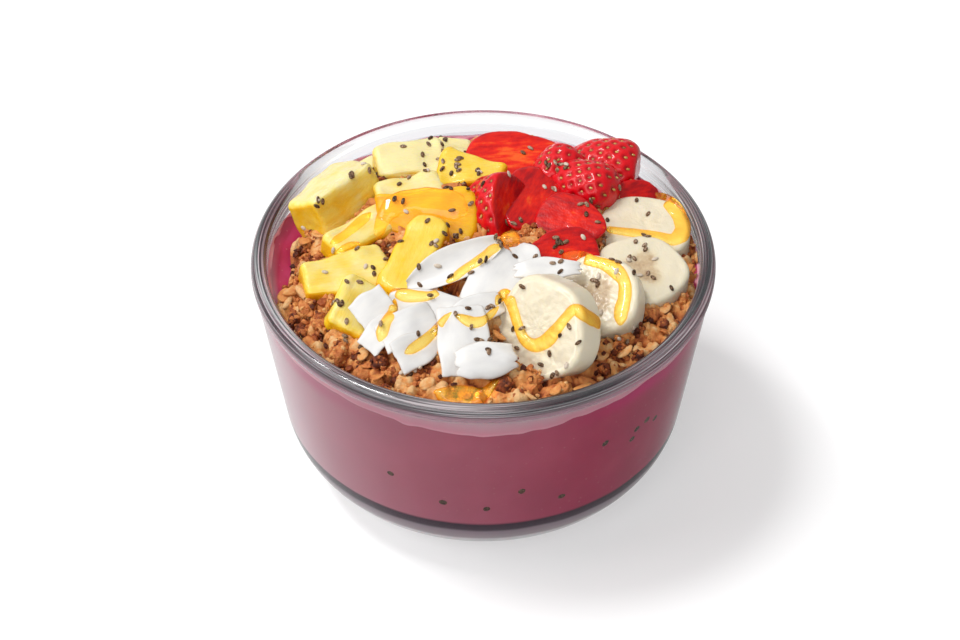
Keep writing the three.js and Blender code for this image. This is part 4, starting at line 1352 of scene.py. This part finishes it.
# ---------------------------------------- chia seeds
# Dry chia scattered over everything: flattened oval seeds two millimetres long, mottled grey
# and brown, one in six pale. They lie on whatever they landed on, fallen the way the honey did,
# and ten more have sunk into the side of the puree.
SEED_HALF = np.array([1.18, 0.66, 0.48])
PALE_SHARE = 0.16
SPREAD_SHARE = 0.65
SEED_LIFT = 0.25
PUREE_SIDE = 67  # radius that the places of the sunk seeds are given on
CHIA = [  # (u, v), or (u, v, spread, count) for a group
    (-27, 34), (-14.3, 35.7, 2.4, 5), (-17.5, 31.3, 3.2, 6), (-14.3, 27), (-7, 29, 1.5, 3),
    (-10, 26, 1.4, 3), (-5.5, 21.5, 2, 4), (-0.8, 26, 1.2, 3), (0, 21), (8.6, 24), (-18.5, 22.5, 2.5, 2),
    (-26.7, 21.8, 2, 2), (-43.5, 23.5, 1.2, 4), (-39.5, 26.5, 1.2, 2), (-35, 24), (-54, 15.8, 2.2, 4),
    (-57.5, 7), (-27.7, 14.8, 3, 3), (-11.8, 17, 2.5, 3), (-3, 14.8), (-17.2, 7.8), (-11.5, 5.8, 1.2, 2),
    (-25.8, 3.4), (-16.6, 1, 2.2, 3), (-8.2, 4.6, 1.8, 3), (-20.3, -6.5), (-20.5, -11.5), (-30.8, 0.8),
    (-30.8, -3.3), (-46.5, 0), (-39.7, 0), (-50.5, -7), (-36.2, -7.8, 3, 4), (-43.5, -11),
    (-45.5, -17.8, 1.8, 4), (-43, -23.3), (-31, -22.6), (-13.5, -5.5), (-9.7, -8.9), (-13, -12.6),
    (-16.4, -15), (-0.7, -3.4, 1.3, 2), (5, 1.8, 2.2, 4), (10.3, -2.6), (-4, -7), (-3.5, -18.5),
    (-9, -19.3), (2.5, -18, 1.2, 2), (-3.4, -22.8), (-19.2, -26.5), (-1.2, -26.8), (1.2, -29.3, 1.8, 4),
    (11.6, -10.6), (6, -17), (8.2, -23.8, 1.8, 2), (11, -31), (19.7, -31.4), (25.5, -22.8), (21.5, -26),
    (27.8, -28.4), (18.4, -36), (25.4, -36), (21.5, -38.5, 1.2, 2), (34.3, -33), (22.8, -8.3), (23.7, -5),
    (17.5, -1.4), (35.3, -9.5, 2, 4), (41, -8), (36.3, -18.7), (41.2, -4.5, 1.8, 3), (47, -8),
    (47, -3.3, 2, 3), (54, -3.3), (51.2, -8.4, 1.5, 3), (60.6, -12), (50.2, 1.2, 2.8, 5),
    (38.5, 3.7, 1.2, 2), (49.5, 16), (53.3, 11.6), (39.8, 8.8), (14.3, 33, 1.4, 2), (26, 28, 2, 6),
    (21, 26.5, 1.2, 2), (20.3, 19.5), (24.3, 19, 1.4, 2), (33.3, 16), (44, 20.8), (32.4, 12.8, 1.7, 3),
    (35.8, 8.7), (10.7, 7.2, 2.4, 3), (25.2, 0.8, 2.1, 7), (32, 3), (22.2, -3.6), (-40, -32, 6, 3),
    (45, -26, 4, 3), (-20, -38, 6, 4),
]
SUNK = [(-13, 33), (1, 31), (25, 32), (50, 51), (-29, 42), (12, 39), (46, 46), (47, 50), (53, 48), (37, 52)]
rng = np.random.default_rng(23)
seed_places = []
seed_frames = []
dressed_tree = tree_of(shown)
for u, v, *group in CHIA:
    spread, count = group or (1, 1)
    for du, dv in rng.normal(0, spread * SPREAD_SHARE, (count, 2)):
        spot, _, normal = landing(dressed_tree, u + du, v + dv)
        across = normal.cross(Vector((*rng.normal(size=2), 0.2))).normalized()
        seed_frames.append(np.stack([across, normal.cross(across), normal], 1))
        seed_places.append(spot + np.array(normal) * SEED_LIFT)
for across_face, height in SUNK:
    angle = math.asin(across_face / PUREE_SIDE) - math.pi / 2
    side = np.array([math.cos(angle), math.sin(angle), 0])
    radius = float(wall_radius(height, WALL - INTO_WALL)) - SEED_LIFT
    across = unit(np.cross(side, [0.3, 0.2, 1.0]))
    seed_places.append(side * radius + np.array([0, 0, height]))
    seed_frames.append(np.stack([across, np.cross(side, across), side], 1))
count = len(seed_places)
shape, shape_faces = ball(2)
shape = shape * SEED_HALF * (1 - 0.12 * shape[:, :1])
sizes = rng.uniform(0.88, 1.12, (count, 3))
sizes[-len(SUNK):] *= [1.15, 2.4, 1]  # swollen with the puree's juice
points, faces = copies(shape, shape_faces, np.array(seed_places), np.array(seed_frames), sizes)
tone = np.where(rng.uniform(size=count) < PALE_SHARE, 1.0, rng.uniform(0, 0.5, count))
tone[-len(SUNK):] = 0.1

chia = new_material("chia_seed", Roughness=0.4, Specular_IOR_Level=0.2)
mottle = speckle(chia, 1300, Detail=3, Distortion=1.5)
chia_colour = add_ramp(chia, weigh(chia, mesh_value(chia, "tone"), 0.55, mottle), [
    (0.4, 0.020, 0.009, 0.004),
    (0.56, 0.085, 0.042, 0.020),
    (0.75, 0.28, 0.17, 0.10),
    (1.0, 0.62, 0.53, 0.43),
])
link(chia, chia_colour, "Base Color")
tones = {"tone": np.repeat(tone, len(shape))}
new_piece("chia_seeds", points, faces, chia, attributes=tones, lies_under=False)

# ---------------------------------------- hand-over
sizes = {
    "cad_box": [list(corner) for corner in cad_box],
    "visual_box": [list(corner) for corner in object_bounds()],
}
